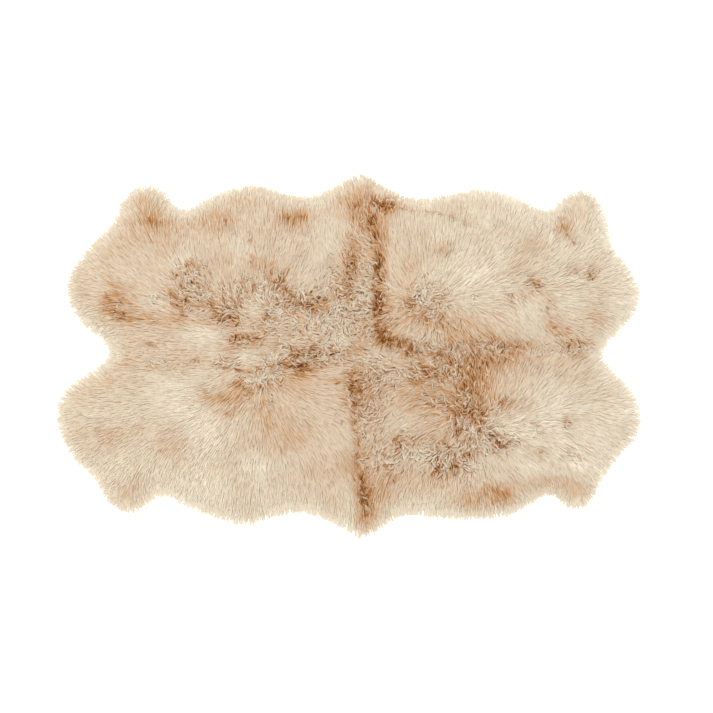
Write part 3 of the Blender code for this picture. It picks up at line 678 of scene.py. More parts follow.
# Where the wool stands in curls: centre, half sizes, the turn of the longer one, and how
# curly, from 0 to 1.
CURLS = [
    # px, py, half_x, half_y, turn, amount
    (189, 287, 22, 26, 0, 1.0), (226, 312, 20, 16, 0, 0.9), (250, 288, 22, 14, 0, 0.6),
    (300, 300, 28, 13, -12, 0.8), (276, 280, 12, 12, 0, 0.6), (265, 312, 14, 16, 0, 0.6),
    (352, 292, 11, 44, 0, 0.9), (366, 300, 9, 46, 0, 0.7), (368, 224, 12, 20, 0, 0.6),
    (385, 206, 14, 7, 0, 0.5), (244, 340, 18, 7, 0, 0.8), (305, 356, 36, 13, 0, 0.9),
    (125, 310, 12, 10, 0, 0.4), (152, 300, 10, 7, 0, 0.5), (340, 340, 26, 18, 0, 0.6),
    (284, 330, 30, 12, 0, 0.5), (168, 360, 44, 10, 0, 0.45), (228, 364, 14, 7, 0, 0.7),
    (256, 384, 24, 7, 0, 0.7), (380, 285, 8, 60, 0, 0.4), (354, 390, 10, 24, 0, 0.8),
    (358, 440, 7, 40, 0, 0.5), (364, 492, 10, 24, 0, 0.5), (374, 380, 20, 24, 0, 0.7),
    (425, 372, 34, 14, 0, 0.8), (472, 372, 22, 22, 0, 0.6), (448, 402, 28, 13, 0, 0.9),
    (470, 425, 22, 20, 0, 1.0), (450, 460, 28, 20, 0, 1.0), (394, 456, 26, 20, 0, 0.9),
    (372, 420, 14, 26, 0, 0.7), (408, 438, 16, 8, 0, 0.6), (498, 443, 18, 12, 0, 0.9),
    (530, 430, 18, 12, 0, 0.45), (566, 422, 8, 8, 0, 0.5), (500, 402, 10, 8, 0, 0.5),
    (575, 450, 16, 12, 0, 0.35), (424, 304, 22, 14, 0, 0.7), (385, 322, 9, 24, 0, 0.7),
    (446, 250, 12, 10, 0, 0.3), (440, 330, 30, 16, 0, 0.3), (575, 346, 18, 10, 0, 0.9),
    (532, 284, 14, 9, -30, 0.6), (580, 276, 18, 8, 0, 0.5), (500, 350, 50, 10, 0, 0.55),
    (410, 348, 30, 8, -10, 0.7), (512, 300, 14, 5, 0, 0.5), (440, 350, 30, 8, 0, 0.6),
]


# Where the wool parts and shows its deep brown, partly the roots' own colour and partly
# painted shade in the crevice: the parting's middle, its length in pixels, its angle in
# degrees, and how much browner it is.
SHADED_PARTINGS = [
    # px, py, length, angle, amount
    # the far left skin's curls
    (179, 276, 5, 60, 0.7), (186, 274, 4, 80, 0.9), (187, 266, 3, 60, 0.5), (192, 265, 5, 45, 0.6),
    (195, 272, 3, 0, 0.6), (200, 267, 4, 45, 0.5), (193, 283, 6, -50, 0.6), (183, 287, 7, -58, 0.5),
    (172, 294, 9, 85, 0.4), (175, 305, 8, -45, 0.4), (188, 300, 8, 70, 0.6), (180, 306, 4, -30, 0.7),
    (185, 313, 8, -40, 0.35), (179, 298, 7, 80, 0.3), (203, 286, 8, 20, 0.35), (203, 293, 8, 10, 0.3),
    (213, 306, 5, -45, 0.5), (217, 312, 6, -60, 0.5), (231, 317, 6, 85, 0.6), (221, 322, 5, 60, 0.6),
    (227, 308, 8, 70, 0.35), (242, 308, 5, -70, 0.6), (243, 300, 6, -55, 0.4), (239, 316, 4, 80, 0.5),
    (238, 325, 8, 60, 0.5), (248, 290, 6, -50, 0.3), (255, 288, 9, -65, 0.4), (244, 282, 8, 20, 0.35),
    (236, 283, 5, -20, 0.4), (223, 283, 5, 30, 0.3), (267, 278, 7, -75, 0.4), (233, 336, 5, -45, 0.7),
    (237, 337, 7, 88, 0.9), (231, 340, 3, 90, 0.7), (242, 340, 6, 0, 0.5), (250, 337, 4, 45, 0.5),
    (262, 345, 5, 50, 0.5), (251, 241, 6, 30, 0.3), (252, 263, 4, -60, 0.3), (152, 345, 12, -10, 0.3),
    (109, 296, 8, -70, 0.3), (113, 303, 8, -60, 0.3), (124, 303, 9, -45, 0.4), (118, 312, 8, -30, 0.3),
    (126, 315, 6, -60, 0.4), (152, 221, 7, -40, 0.3), (227, 221, 4, 60, 0.3), (289, 218, 5, 80, 0.3),
    (301, 216, 5, 75, 0.25), (273, 272, 10, 80, 0.3), (281, 279, 5, 60, 0.6), (284, 272, 11, 75, 0.3),
    (289, 272, 7, 75, 0.45), (285, 281, 5, 80, 0.5), (273, 282, 4, 0, 0.5), (277, 284, 5, 30, 0.5),
    (282, 287, 8, -20, 0.35), (288, 292, 10, -45, 0.45), (294, 297, 8, -25, 0.5), (275, 289, 6, 65, 0.4),
    (272, 297, 7, 80, 0.3), (281, 294, 8, -65, 0.3), (303, 297, 8, 50, 0.45), (307, 294, 6, 35, 0.5),
    (312, 292, 4, 50, 0.7), (316, 288, 4, 10, 0.4), (309, 299, 12, 15, 0.35), (297, 303, 9, 15, 0.45),
    (302, 306, 10, 8, 0.5), (314, 299, 4, 0, 0.7), (320, 299, 6, -8, 1.0), (318, 303, 7, -45, 0.6),
    (325, 301, 5, -20, 0.5), (313, 306, 9, 0, 0.6), (313, 308, 7, 10, 0.6), (287, 308, 8, 80, 0.3),
    (265, 309, 12, -70, 0.35), (268, 318, 8, -80, 0.4), (264, 320, 6, 80, 0.35), (266, 334, 4, 80, 0.4),
    (301, 332, 4, 0, 0.6), (307, 329, 4, 10, 0.5), (318, 335, 4, 0, 0.6), (326, 335, 4, 10, 0.4),
    (322, 340, 6, 0, 0.35), (314, 346, 10, 8, 0.5), (331, 347, 8, 20, 0.5), (292, 349, 6, -45, 0.6),
    # the seam between the far skins, and the wool that stands beside it
    (355, 207, 8, 80, 0.3), (371, 223, 9, 80, 0.45), (373, 217, 6, 60, 0.4), (382, 207, 8, -30, 0.7),
    (379, 204, 10, -40, 0.35), (391, 205, 8, 25, 0.3), (386, 213, 8, 60, 0.3), (375, 237, 7, -80, 0.8),
    (366, 232, 8, -60, 0.3), (371, 243, 3, 0, 0.7), (372, 250, 8, -70, 0.35), (379, 266, 14, -86, 0.5),
    (376, 271, 14, -84, 0.5), (382, 262, 12, 85, 0.35), (381, 281, 7, -50, 1.0), (378, 276, 8, -78, 0.6),
    (374, 290, 12, -86, 0.3), (376, 298, 12, -85, 0.6), (376, 305, 8, -80, 0.9), (374, 310, 7, 85, 0.9),
    (375, 316, 7, -80, 0.6), (381, 299, 7, 40, 0.4), (381, 308, 6, 70, 0.4), (376, 325, 7, 80, 0.45),
    (385, 329, 8, 80, 0.35), (379, 333, 8, -50, 0.5), (382, 340, 8, -55, 0.7), (390, 340, 10, -12, 0.45),
    (353, 257, 6, 30, 0.4), (349, 267, 5, 10, 0.7), (352, 264, 5, 20, 0.5), (354, 270, 6, -10, 0.35),
    (348, 274, 6, 0, 0.4), (350, 279, 5, 20, 0.5), (352, 284, 5, -20, 0.5), (349, 288, 5, 10, 0.5),
    (351, 292, 6, -30, 0.5), (348, 297, 5, 0, 0.4), (353, 300, 6, 10, 0.5), (356, 307, 6, -40, 0.35),
    (344, 311, 6, -60, 0.35), (342, 286, 5, 10, 0.4), (356, 330, 6, -20, 0.35), (343, 318, 6, -50, 0.4),
    # the near left skin
    (296, 349, 6, -60, 0.5), (300, 354, 6, -70, 0.5), (296, 357, 5, 60, 0.4), (309, 356, 6, 0, 0.7),
    (317, 357, 4, 0, 0.7), (311, 352, 5, 50, 0.4), (300, 366, 9, -3, 0.9), (292, 366, 8, 8, 0.6),
    (284, 363, 9, 5, 0.5), (307, 364, 3, 0, 0.7), (303, 371, 6, -30, 0.5), (311, 370, 4, -60, 0.5),
    (316, 363, 5, 20, 0.4), (322, 367, 4, 0, 0.5), (326, 352, 5, 20, 0.5), (333, 350, 5, 10, 0.5),
    (338, 355, 5, 0, 0.4), (330, 360, 5, 0, 0.35), (338, 382, 7, 15, 0.45), (344, 371, 5, 10, 0.35),
    (228, 368, 10, 0, 0.35), (240, 370, 10, -8, 0.5), (251, 372, 7, 0, 0.5), (262, 368, 11, 12, 0.4),
    (274, 366, 10, 8, 0.4), (224, 360, 5, -30, 0.4), (240, 384, 5, 70, 0.35), (246, 389, 6, -45, 0.35),
    (262, 386, 6, 50, 0.4), (253, 391, 8, 0, 0.25), (228, 413, 6, 55, 0.3), (197, 362, 9, 5, 0.35),
    (207, 391, 7, 40, 0.25), (163, 449, 5, 60, 0.3), (268, 425, 7, -60, 0.25), (310, 425, 7, -45, 0.25),
    # the seam between the near skins
    (353, 384, 12, 85, 0.4), (356, 403, 8, 80, 0.35), (355, 420, 8, 85, 0.3), (358, 440, 12, 85, 0.3),
    (357, 453, 6, 80, 0.5), (361, 478, 10, 85, 0.4), (362, 498, 12, 86, 0.45), (368, 494, 10, 80, 0.35),
    (366, 512, 10, 80, 0.35),
    # the near right skin
    (428, 377, 3, 0, 1.0), (448, 408, 7, -70, 0.5), (447, 418, 4, 85, 0.5), (455, 422, 6, 80, 0.6),
    (456, 432, 9, -86, 1.0), (459, 428, 5, 80, 0.6), (462, 420, 9, 85, 0.35), (461, 412, 5, 20, 0.6),
    (469, 411, 5, -60, 0.5), (475, 418, 4, 20, 0.4), (480, 420, 4, 60, 0.5), (482, 411, 5, 45, 0.4),
    (485, 421, 7, 50, 0.4), (478, 430, 6, 75, 0.6), (466, 427, 7, 65, 0.5), (470, 438, 5, 10, 0.45),
    (460, 440, 7, 50, 0.35), (492, 435, 9, -8, 0.8), (488, 438, 8, 25, 0.5), (498, 443, 6, -80, 0.8),
    (500, 447, 6, 0, 0.8), (504, 446, 4, 30, 0.5), (494, 451, 7, 35, 0.5), (508, 440, 5, 85, 0.45),
    (501, 401, 5, 20, 0.6), (444, 443, 4, 20, 0.6), (448, 446, 5, 25, 0.6), (452, 444, 4, -40, 0.5),
    (436, 448, 4, 0, 0.5), (452, 459, 6, -45, 0.5), (442, 458, 5, 50, 0.4), (461, 454, 5, 30, 0.4),
    (480, 452, 9, -50, 0.3), (438, 465, 8, -86, 1.0), (450, 467, 6, 85, 0.6), (456, 464, 10, 80, 0.9),
    (454, 474, 6, 60, 0.4), (431, 474, 5, -80, 0.5), (434, 456, 4, 45, 0.6), (430, 449, 6, 0, 0.5),
    (396, 444, 8, 60, 0.4), (401, 444, 6, 80, 0.5), (397, 449, 6, 45, 0.35), (409, 436, 8, -50, 0.35),
    (413, 441, 5, -60, 0.4), (385, 448, 3, 0, 0.5), (384, 454, 5, -20, 0.45), (391, 456, 4, 0, 0.4),
    (385, 464, 6, 50, 0.4), (393, 481, 6, -85, 0.45), (402, 471, 3, -45, 0.45), (424, 470, 4, 80, 0.4),
    (516, 430, 5, 80, 0.3), (540, 450, 8, 65, 0.3), (565, 420, 6, 60, 0.3), (567, 452, 5, -60, 0.3),
    (536, 424, 5, 30, 0.25), (548, 356, 6, 25, 0.3), (470, 385, 10, 80, 0.3), (476, 392, 8, 85, 0.3),
    # the long seam's right half
    (398, 346, 7, -30, 0.5), (405, 351, 5, 0, 0.5), (412, 349, 6, -20, 0.5), (419, 347, 5, -10, 0.4),
    (490, 350, 6, 0, 0.35), (500, 347, 8, 0, 0.5), (508, 346, 6, 5, 0.4), (516, 347, 5, 10, 0.5),
    # the far right skin
    (405, 209, 12, -8, 0.24), (417, 211, 12, -8, 0.24), (430, 213, 12, -8, 0.24), (443, 215, 12, -10, 0.24),
    (455, 219, 12, -22, 0.22), (466, 225, 10, -30, 0.2), (407, 304, 6, -30, 0.4),
    (412, 301, 5, 20, 0.35), (424, 300, 4, 0, 0.6), (431, 300, 4, -30, 0.4), (441, 299, 9, 80, 0.35),
    (420, 318, 8, 60, 0.3), (558, 219, 8, -75, 0.3), (562, 229, 10, -68, 0.4), (567, 238, 8, -50, 0.4),
    (572, 243, 5, -40, 0.5), (574, 273, 5, 40, 0.35), (580, 284, 5, -10, 0.4), (588, 275, 8, -60, 0.5),
    (591, 279, 5, 45, 0.6), (530, 281, 5, -50, 0.4), (533, 284, 5, -40, 0.5), (537, 287, 5, -60, 0.6),
    (523, 299, 4, -70, 0.5), (508, 297, 6, -45, 0.35), (513, 310, 8, -60, 0.25),
    (547, 309, 7, -60, 0.4), (554, 327, 8, 0, 0.3), (566, 329, 6, -15, 0.4), (556, 335, 6, 0, 0.35),
    (567, 346, 4, 45, 1.0), (570, 340, 3, 0, 0.6), (577, 341, 4, -30, 0.5), (579, 347, 4, 0, 0.5),
]


def to_px(places):
    """Return where places show in the photograph, in pixels."""
    return np.stack([RUG_CENTRE_PX[0] + places[..., 0] / PX,
                     RUG_CENTRE_PX[1] - places[..., 1] / PX], -1)


def heading(angle):
    """Return the ways (x, y) that point at angles in radians."""
    return np.stack([np.cos(angle), np.sin(angle)], -1)


def nearest_of(points, places):
    """Return which of the points (x, y) is nearest to each place."""
    search = KDTree(len(points))
    for index, point in enumerate(points):
        search.insert((*point, 0.0), index)
    search.balance()
    return np.array([search.find((x, y, 0.0))[1] for x, y in places])


NOISE_CELLS = 64        # the noise repeats after this many
NOISE_SHIFT = 1000.0    # keeps the cells' numbers above 0


def soft_noise(places, size, seed):
    """Return smooth random values from -1 to 1 that change over a size, at places."""
    lattice = np.random.default_rng(seed).uniform(-1, 1, (NOISE_CELLS, NOISE_CELLS))
    at = places[..., :2] / size + NOISE_SHIFT
    cell = np.floor(at).astype(int)
    part = at - cell
    part = part * part * (3 - 2 * part)
    x, y = cell[..., 0] % NOISE_CELLS, cell[..., 1] % NOISE_CELLS
    right, up = (x + 1) % NOISE_CELLS, (y + 1) % NOISE_CELLS
    near = lattice[y, x] * (1 - part[..., 0]) + lattice[y, right] * part[..., 0]
    far = lattice[up, x] * (1 - part[..., 0]) + lattice[up, right] * part[..., 0]
    return near * (1 - part[..., 1]) + far * part[..., 1]


SPOT_EDGE = 1.3         # above 1, a spot is flatter in its middle and sharper at its edge


def spots_at(table, places):
    """Return the amounts that a table's soft oval spots add up to at each place."""
    px = to_px(places)
    total = np.zeros(px.shape[:-1])
    for at_x, at_y, half_x, half_y, turn, amount in table:
        across, down = px[..., 0] - at_x, at_y - px[..., 1]
        cos, sin = math.cos(math.radians(turn)), math.sin(math.radians(turn))
        long = (across * cos + down * sin) / half_x
        wide = (down * cos - across * sin) / half_y
        total += amount * np.exp(-(long ** 2 + wide ** 2) ** SPOT_EDGE)
    return total


TONE_BASE = 0.32
TONE_DRIFT = 0.07       # slow changes of colour over a hand's breadth
TONE_WANDER = 0.010     # how far the spots' edges wander
RIM_PAINTED_LIGHT = 0.28         # how much paler where it thins out to nothing: painted light, the floor shining through
RIM_PAINTED_LIGHT_BELOW = 0.041  # and the height of its form from where it does so


def tone_at(places, stain=1.0):
    """Return how brown the wool is at places; stain is how much a lock takes of a spot."""
    wander = np.stack([soft_noise(places, 0.030, 11), soft_noise(places, 0.030, 12)], -1)
    spot = spots_at(TONES, places[..., :2] + TONE_WANDER * wander)
    spot *= 0.85 + 0.30 * soft_noise(places, 0.012, 20)
    # the thin wool at the rim is painted paler, as painted light of the white floor shining through it
    thin = np.clip(1 - form_at(places) / RIM_PAINTED_LIGHT_BELOW, 0, 1)
    tone = TONE_BASE + spot * stain * (1 - 0.6 * thin) - RIM_PAINTED_LIGHT * thin
    return tone + TONE_DRIFT * soft_noise(places, 0.085, 13)


def curl_at(places):
    """Return how curly the wool is at places, from 0 to 1."""
    curl = spots_at(CURLS, places) * (0.8 + 0.5 * soft_noise(places, 0.04, 14))
    return np.clip(curl, 0, 1)


COMB_BLEND_PX = 19.0    # how far one entry of the combing's table reaches
SHOWN_SHARE = 0.45      # how far along its length a lock shows most
RIM_TURN = 0.045        # this near the rim the wool turns outwards
RIM_TURNED = 0.8        # how far it does so; 1 would be straight outwards
RIM_EASE = 0.030        # round a corner of the rim it fans out over this length
RIM_STEP = 0.003        # from one point of the rim to the next


def shown_at(skin, places, length):
    """Return where wool that grows at places shows, part of its length along the combing."""
    return places + SHOWN_SHARE * length * heading(comb_angle(skin, places)[0])


def comb_angle(skin, places):
    """Return the way the wool is combed at places, in radians, and how unruly it is.

    Where the combing parts or meets, its ways cancel out, and the wool is unruly there.
    """
    px = to_px(places)
    east, north = np.zeros(px.shape[:-1]), np.zeros(px.shape[:-1])
    whole = np.zeros(px.shape[:-1])
    for at_x, at_y, angle in COMBED[skin]:
        away = (px[..., 0] - at_x) ** 2 + (px[..., 1] - at_y) ** 2
        weight = np.exp(-away / (2 * COMB_BLEND_PX ** 2)) + 1e-3 / (1 + away / 400)
        whole += weight
        east += weight * math.cos(math.radians(angle))
        north += weight * math.sin(math.radians(angle))
    order = np.hypot(east, north) / whole
    return np.arctan2(north, east), np.clip((0.85 - order) / 0.5, 0, 1)


def rug_rim():
    """Return points along the hides' outer edge and the way out from it at each.

    The sewn edges, which lie against another hide, are left out.
    """
    points, ways = [], []
    for skin in SKINS:
        starts, ends = loose_edges("hide_" + skin)
        others = [loose_edges("hide_" + name) for name in SKINS if name != skin]
        middles = (starts + ends) / 2
        free = np.min([gaps_to(middles, *other) for other in others], axis=0) > 2 * SEAM_GAP
        for start, end in zip(starts[free], ends[free]):
            run = end - start
            length = np.linalg.norm(run)
            steps = max(1, round(length / RIM_STEP))
            for step in range(steps):
                points.append(start + run * (step + 0.5) / steps)
                ways.append((-run[1] / length, run[0] / length))
    points, ways = np.array(points), np.array(ways)
    near = np.exp(-(np.linalg.norm(points[:, None] - points[None], axis=2) / RIM_EASE) ** 2)
    ways = near @ ways
    return points, ways / np.linalg.norm(ways, axis=1, keepdims=True)


def scattered(low, high, spacing, rng):
    """Return places in a shaken triangular pattern over a rectangle."""
    rows = np.arange(low[1], high[1], spacing * math.sqrt(3) / 2)
    columns = np.arange(low[0], high[0], spacing)
    x, y = np.meshgrid(columns, rows)
    x = x + 0.5 * spacing * (np.arange(len(rows)) % 2)[:, None]
    places = np.stack([x.ravel(), y.ravel()], 1)
    return places + rng.uniform(-0.42, 0.42, places.shape) * spacing


def over(node_tree, places):
    """Return which places lie over a node."""
    return np.array([node_tree.ray_cast((x, y, 1.0), (0.0, 0.0, -1.0))[0] is not None
                     for x, y in places])


SLOPE_STEP = 0.012      # a slope is read over this length to each side
SLOPE_MOST = 0.3        # and eased, so that none comes out steeper than this
SLOPE_EASE = 0.6        # slopes well under this keep their shape, at half their steepness


def form_normals(places):
    """Return which way the wool's form faces at places, with its slopes eased."""
    step = SLOPE_STEP
    east = form_at(places + (step, 0.0)) - form_at(places - (step, 0.0))
    north = form_at(places + (0.0, step)) - form_at(places - (0.0, step))
    ways = np.stack([-east / (2 * step), -north / (2 * step), np.ones_like(east)], -1)
    steep = np.linalg.norm(ways[..., :2], axis=-1, keepdims=True)
    ways[..., :2] *= SLOPE_MOST * np.tanh(steep / SLOPE_EASE) / np.maximum(steep, 1e-6)
    return ways / np.linalg.norm(ways, axis=-1, keepdims=True)


LOCK_ROLL = 0.25        # how far a lock turns over to a side, in radians
LOCK_FLAT = 0.6         # its corners lie on an ellipse this high, as a share of its width
LOCK_LOWEST = 0.0004    # no corner of a lock lies lower above the floor
MAP_TONE = 0.92         # the share of the map's width that the tones take up
MAP_SPREAD = (0.0, 0.03, 0.06)          # added on the map at a lock's three corners


def lock_mesh(name, paths, widths, rolls, tones, softness):
    """Make one mesh of closed locks of three sides, each along its path to a pointed tip.

    paths is an array of locks, points and (x, y, z), widths and tones one number for
    each point of each lock, and rolls one for each lock: at 0 its ridge is on top, so that
    no side of it that shows looks down. The map holds a lock's tone and how far along it a
    point is, so that its colour can be read from there. softness is how much a lock is lit
    as part of the wool around it, for its fibres have no sides; its lower side keeps its own
    normals, so that it takes the light that comes back from the wool below.
    """
    count, points = paths.shape[:2]
    rings = points - 1
    along = np.gradient(paths, axis=1)
    along /= np.linalg.norm(along, axis=2, keepdims=True)
    side = np.cross(along, (0.0, 0.0, 1.0))
    side /= np.maximum(np.linalg.norm(side, axis=2, keepdims=True), 1e-6)
    up = np.cross(side, along)
    corners = np.empty((count, rings * 3 + 1, 3))
    facing = np.empty((count, rings * 3 + 1, 3))
    for edge in range(3):
        turn = rolls + math.pi / 2 + edge * 2 * math.pi / 3
        out = side * np.cos(turn)[:, None, None] + LOCK_FLAT * up * np.sin(turn)[:, None, None]
        ring = paths + out * widths[:, :, None] / 2
        corners[:, edge:rings * 3:3] = ring[:, :rings]
        facing[:, edge:rings * 3:3] = out[:, :rings]
    corners[:, -1] = paths[:, -1]
    facing[:, -1] = up[:, -1]
    facing /= np.linalg.norm(facing, axis=2, keepdims=True)
    facing = facing * (1 - softness) + form_normals(corners[..., :2]) * softness
    facing /= np.linalg.norm(facing, axis=2, keepdims=True)
    corners[:, :, 2] = np.maximum(corners[:, :, 2], LOCK_LOWEST)
    faces = [(0, 1, 2)]
    sides = []
    for ring in range(rings - 1):
        for edge in range(3):
            after = (edge + 1) % 3
            sides.append((ring * 3 + after, ring * 3 + edge,
                          ring * 3 + 3 + edge, ring * 3 + 3 + after))
    tip = rings * 3
    faces += [(tip - 3 + (edge + 1) % 3, tip - 3 + edge, tip) for edge in range(3)]
    first = np.arange(count) * (rings * 3 + 1)
    triangles = (np.array(faces)[None] + first[:, None, None]).reshape(-1, 3)
    quads = (np.array(sides)[None] + first[:, None, None]).reshape(-1, 4)
    loops = np.concatenate([triangles.ravel(), quads.ravel()])
    starts = np.concatenate([np.arange(len(triangles)) * 3,
                             len(triangles) * 3 + np.arange(len(quads)) * 4])
    mesh = bpy.data.meshes.new(name)
    mesh.vertices.add(count * (rings * 3 + 1))
    mesh.vertices.foreach_set("co", corners.ravel())
    mesh.loops.add(len(loops))
    mesh.loops.foreach_set("vertex_index", loops)
    mesh.polygons.add(len(starts))
    mesh.polygons.foreach_set("loop_start", starts)
    mesh.update()
    spread = np.array(MAP_SPREAD)
    map_u = np.empty((count, rings * 3 + 1))
    map_v = np.empty((count, rings * 3 + 1))
    for ring in range(rings):
        map_u[:, ring * 3:ring * 3 + 3] = tones[:, ring, None] + spread
        map_v[:, ring * 3:ring * 3 + 3] = ring / rings
    map_u[:, -1] = tones[:, -1] + spread[1]
    map_v[:, -1] = 1.0
    uv = np.stack([map_u.ravel() * MAP_TONE + 0.01, map_v.ravel() * 0.96 + 0.02], 1)
    layer = mesh.uv_layers.new(name="OFBake")
    layer.uv.foreach_set("vector", np.clip(uv, 0.0, 1.0)[loops].astype(np.float32).ravel())
    mesh.shade_smooth()
    lower = [(False, False, True, False), (False, True, False) * (rings - 1)]
    lower = np.concatenate([np.repeat(np.tile(part, count), corner)
                            for part, corner in zip(lower, (3, 4))])
    below = np.concatenate([np.repeat(-up[:, :rings], 3, axis=1), -up[:, -1:]], axis=1)
    facing = np.where(lower[:, None], below.reshape(-1, 3)[loops], facing.reshape(-1, 3)[loops])
    mesh.normals_split_custom_set(facing)
    mesh.materials.append(wool)
    piece = bpy.data.objects.new(name, mesh)
    bpy.context.scene.collection.objects.link(piece)
    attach(piece, "root")


FIBRES_ACROSS = 90.0    # cells of noise over the map's width, which makes 5 over a lock
FIBRES_ALONG = 2.2      # and over its height, which is the length of a lock


# Lamb's wool, combed: matt, with a faint sheen, and a colour that deepens to the root, partly
# the roots' own brown and partly painted shade deep in the pile. Its fibres are far too fine to
# show, so they are drawn as coarser streaks, five over a lock. The streaks also vary its
# roughness and stand up a little.
def wool_material():
    """Return the wool's material, whose colour is read from the map of tone and length."""
    material, tree, shader = new_material("combed lamb's wool", "E2CFB0", 0.86)
    shader.inputs["Sheen Weight"].default_value = 0.02
    shader.inputs["Sheen Roughness"].default_value = 0.45
    shader.inputs["Sheen Tint"].default_value = linear("F3DDB8")
    shader.inputs["Specular IOR Level"].default_value = 0.05
    place = add_node(tree, "ShaderNodeUVMap", {"uv_map": "OFBake"})
    parts = add_node(tree, "ShaderNodeSeparateXYZ", _0=place.outputs["UV"])
    stretch = add_node(tree, "ShaderNodeMapping", _0=place.outputs["UV"],
                       Scale=(FIBRES_ACROSS, FIBRES_ALONG, 1.0))
    fibres = add_node(tree, "ShaderNodeTexNoise", {"noise_dimensions": "2D"},
                      Vector=stretch.outputs[0], Scale=1.0, Detail=1.0)
    streak = add_node(tree, "ShaderNodeMapRange", Value=fibres.outputs[0],
                      **{"To Min": -0.05, "To Max": 0.05})
    # darker towards the root: partly the roots' own brown, partly painted shade deep in the pile
    root_colour_and_shade = add_node(tree, "ShaderNodeMapRange", Value=parts.outputs["Y"],
                     **{"From Max": 0.75, "To Min": 0.30, "To Max": 0.0})
    tone = add_node(tree, "ShaderNodeMath", {"operation": "ADD"},
                    _0=parts.outputs["X"], _1=streak.outputs[0])
    tone_with_root_shade = add_node(tree, "ShaderNodeMath", {"operation": "ADD"},
                      _0=tone.outputs[0], _1=root_colour_and_shade.outputs[0])
    ramp = add_ramp(tree, tone_with_root_shade.outputs[0], [
        (0.0, "FCF5E8"), (0.12, "F1E4D0"), (0.25, "E2D7C2"), (0.45, "D6BFA4"),
        (0.62, "CAA077"), (0.80, "B07740"), (1.0, "763E18")])
    tree.links.new(ramp.outputs["Color"], shader.inputs["Base Color"])
    matt = add_node(tree, "ShaderNodeMapRange", Value=fibres.outputs[0],
                    **{"To Min": 0.80, "To Max": 0.94})
    tree.links.new(matt.outputs[0], shader.inputs["Roughness"])
    grain = add_node(tree, "ShaderNodeBump", Height=fibres.outputs[0], Strength=0.2, Distance=0.0002)
    tree.links.new(grain.outputs[0], shader.inputs["Normal"])
    return material


wool = wool_material()

RIM_LOFT = 0.020        # about how high above the floor a combed lock starts at least


def comb_paths(skin, rim, starts, lengths, lean, bend, points, ends):
    """Return paths (x, y) from their starts along the combing, and how near the rim they are.

    A path ends where the wool's cover falls to its number in ends, if not before.
    """
    edge, ways = rim
    near = nearest_of(edge, starts)
    gap = np.linalg.norm(starts - edge[near], axis=1)
    outwards = ways[near]
    outer = np.exp(-(gap / RIM_TURN) ** 2) * RIM_TURNED
    rows = np.arange(len(starts))
    for _ in range(3):
        path = [starts]
        for step in range(1, points):
            angle = comb_angle(skin, path[-1])[0]
            way = heading(angle) * (1 - outer)[:, None]
            way += outwards * outer[:, None]
            turn = np.arctan2(way[:, 1], way[:, 0]) + lean
            turn += bend * (step / (points - 1) - 0.3)
            path.append(path[-1] + heading(turn) * (lengths / (points - 1))[:, None])
        covered = read_grid(cover, np.stack(path, 1))
        off = covered < ends[:, None]
        off[:, 0] = False
        past = off.argmax(1)
        before, after = covered[rows, past - 1], covered[rows, past]
        share = (past - (ends - after) / np.maximum(before - after, 1e-6)) / (points - 1)
        lengths = np.where(off.any(1), lengths * np.clip(share, 0.25, 1.0), lengths)
    return np.stack(path, 1), gap


def between(paths, owner, shares):
    """Return the places at shares from 0 to 1 along the paths that own some locks."""
    at = shares * (paths.shape[1] - 1)
    low = np.clip(at.astype(int), 0, paths.shape[1] - 2)
    part = (at - low)[:, :, None]
    owner = owner[:, None]
    return paths[owner, low] * (1 - part) + paths[owner, low + 1] * part


COMBED_STAPLE_SPACING = 0.0085  # staples are the tufts in which the locks hang together
COMBED_SPACING = 0.0050         # between the locks themselves
COMBED_WIDTH = 0.0037
COMBED_LENGTH = 0.052
COMBED_UNEVEN = (0.85, 1.12)    # the shortest and the longest staple, as shares of that
COMBED_LEAN = 0.04              # how far a staple leans from the combing, in radians
COMBED_BEND = 0.18              # and how far it turns along its length
COMBED_ASTRAY = 0.0013          # how far a lock strays from its staple
CURLY_ASTRAY = 0.0065           # and how much further where the wool is curly
COMBED_SOFTNESS = 0.65          # how much it is lit as part of the wool around it
COMBED_DEPTH = 0.007            # a lock's root lies this far under the top of the wool
SHORTER = 0.30                  # the shortest locks of a staple end this share before it
RIM_EVENER = 0.28               # near the rim they end more evenly, by this much
RIM_ASTRAY = 0.0030             # there they also part from their staples, so it looks soft
RIM_CALM = 0.6                  # but stray otherwise, and stand proud, less by this share
RIM_ENDS = (0.17, 0.27)         # the cover at which one staple or another ends there
RIM_NARROWER = 0.22             # how much narrower the locks are there
RIM_NARROWER_WITHIN = 0.035     # and how near to the rim
UNRULY_BACK = 0.45              # where the combing parts, locks lie across their roots


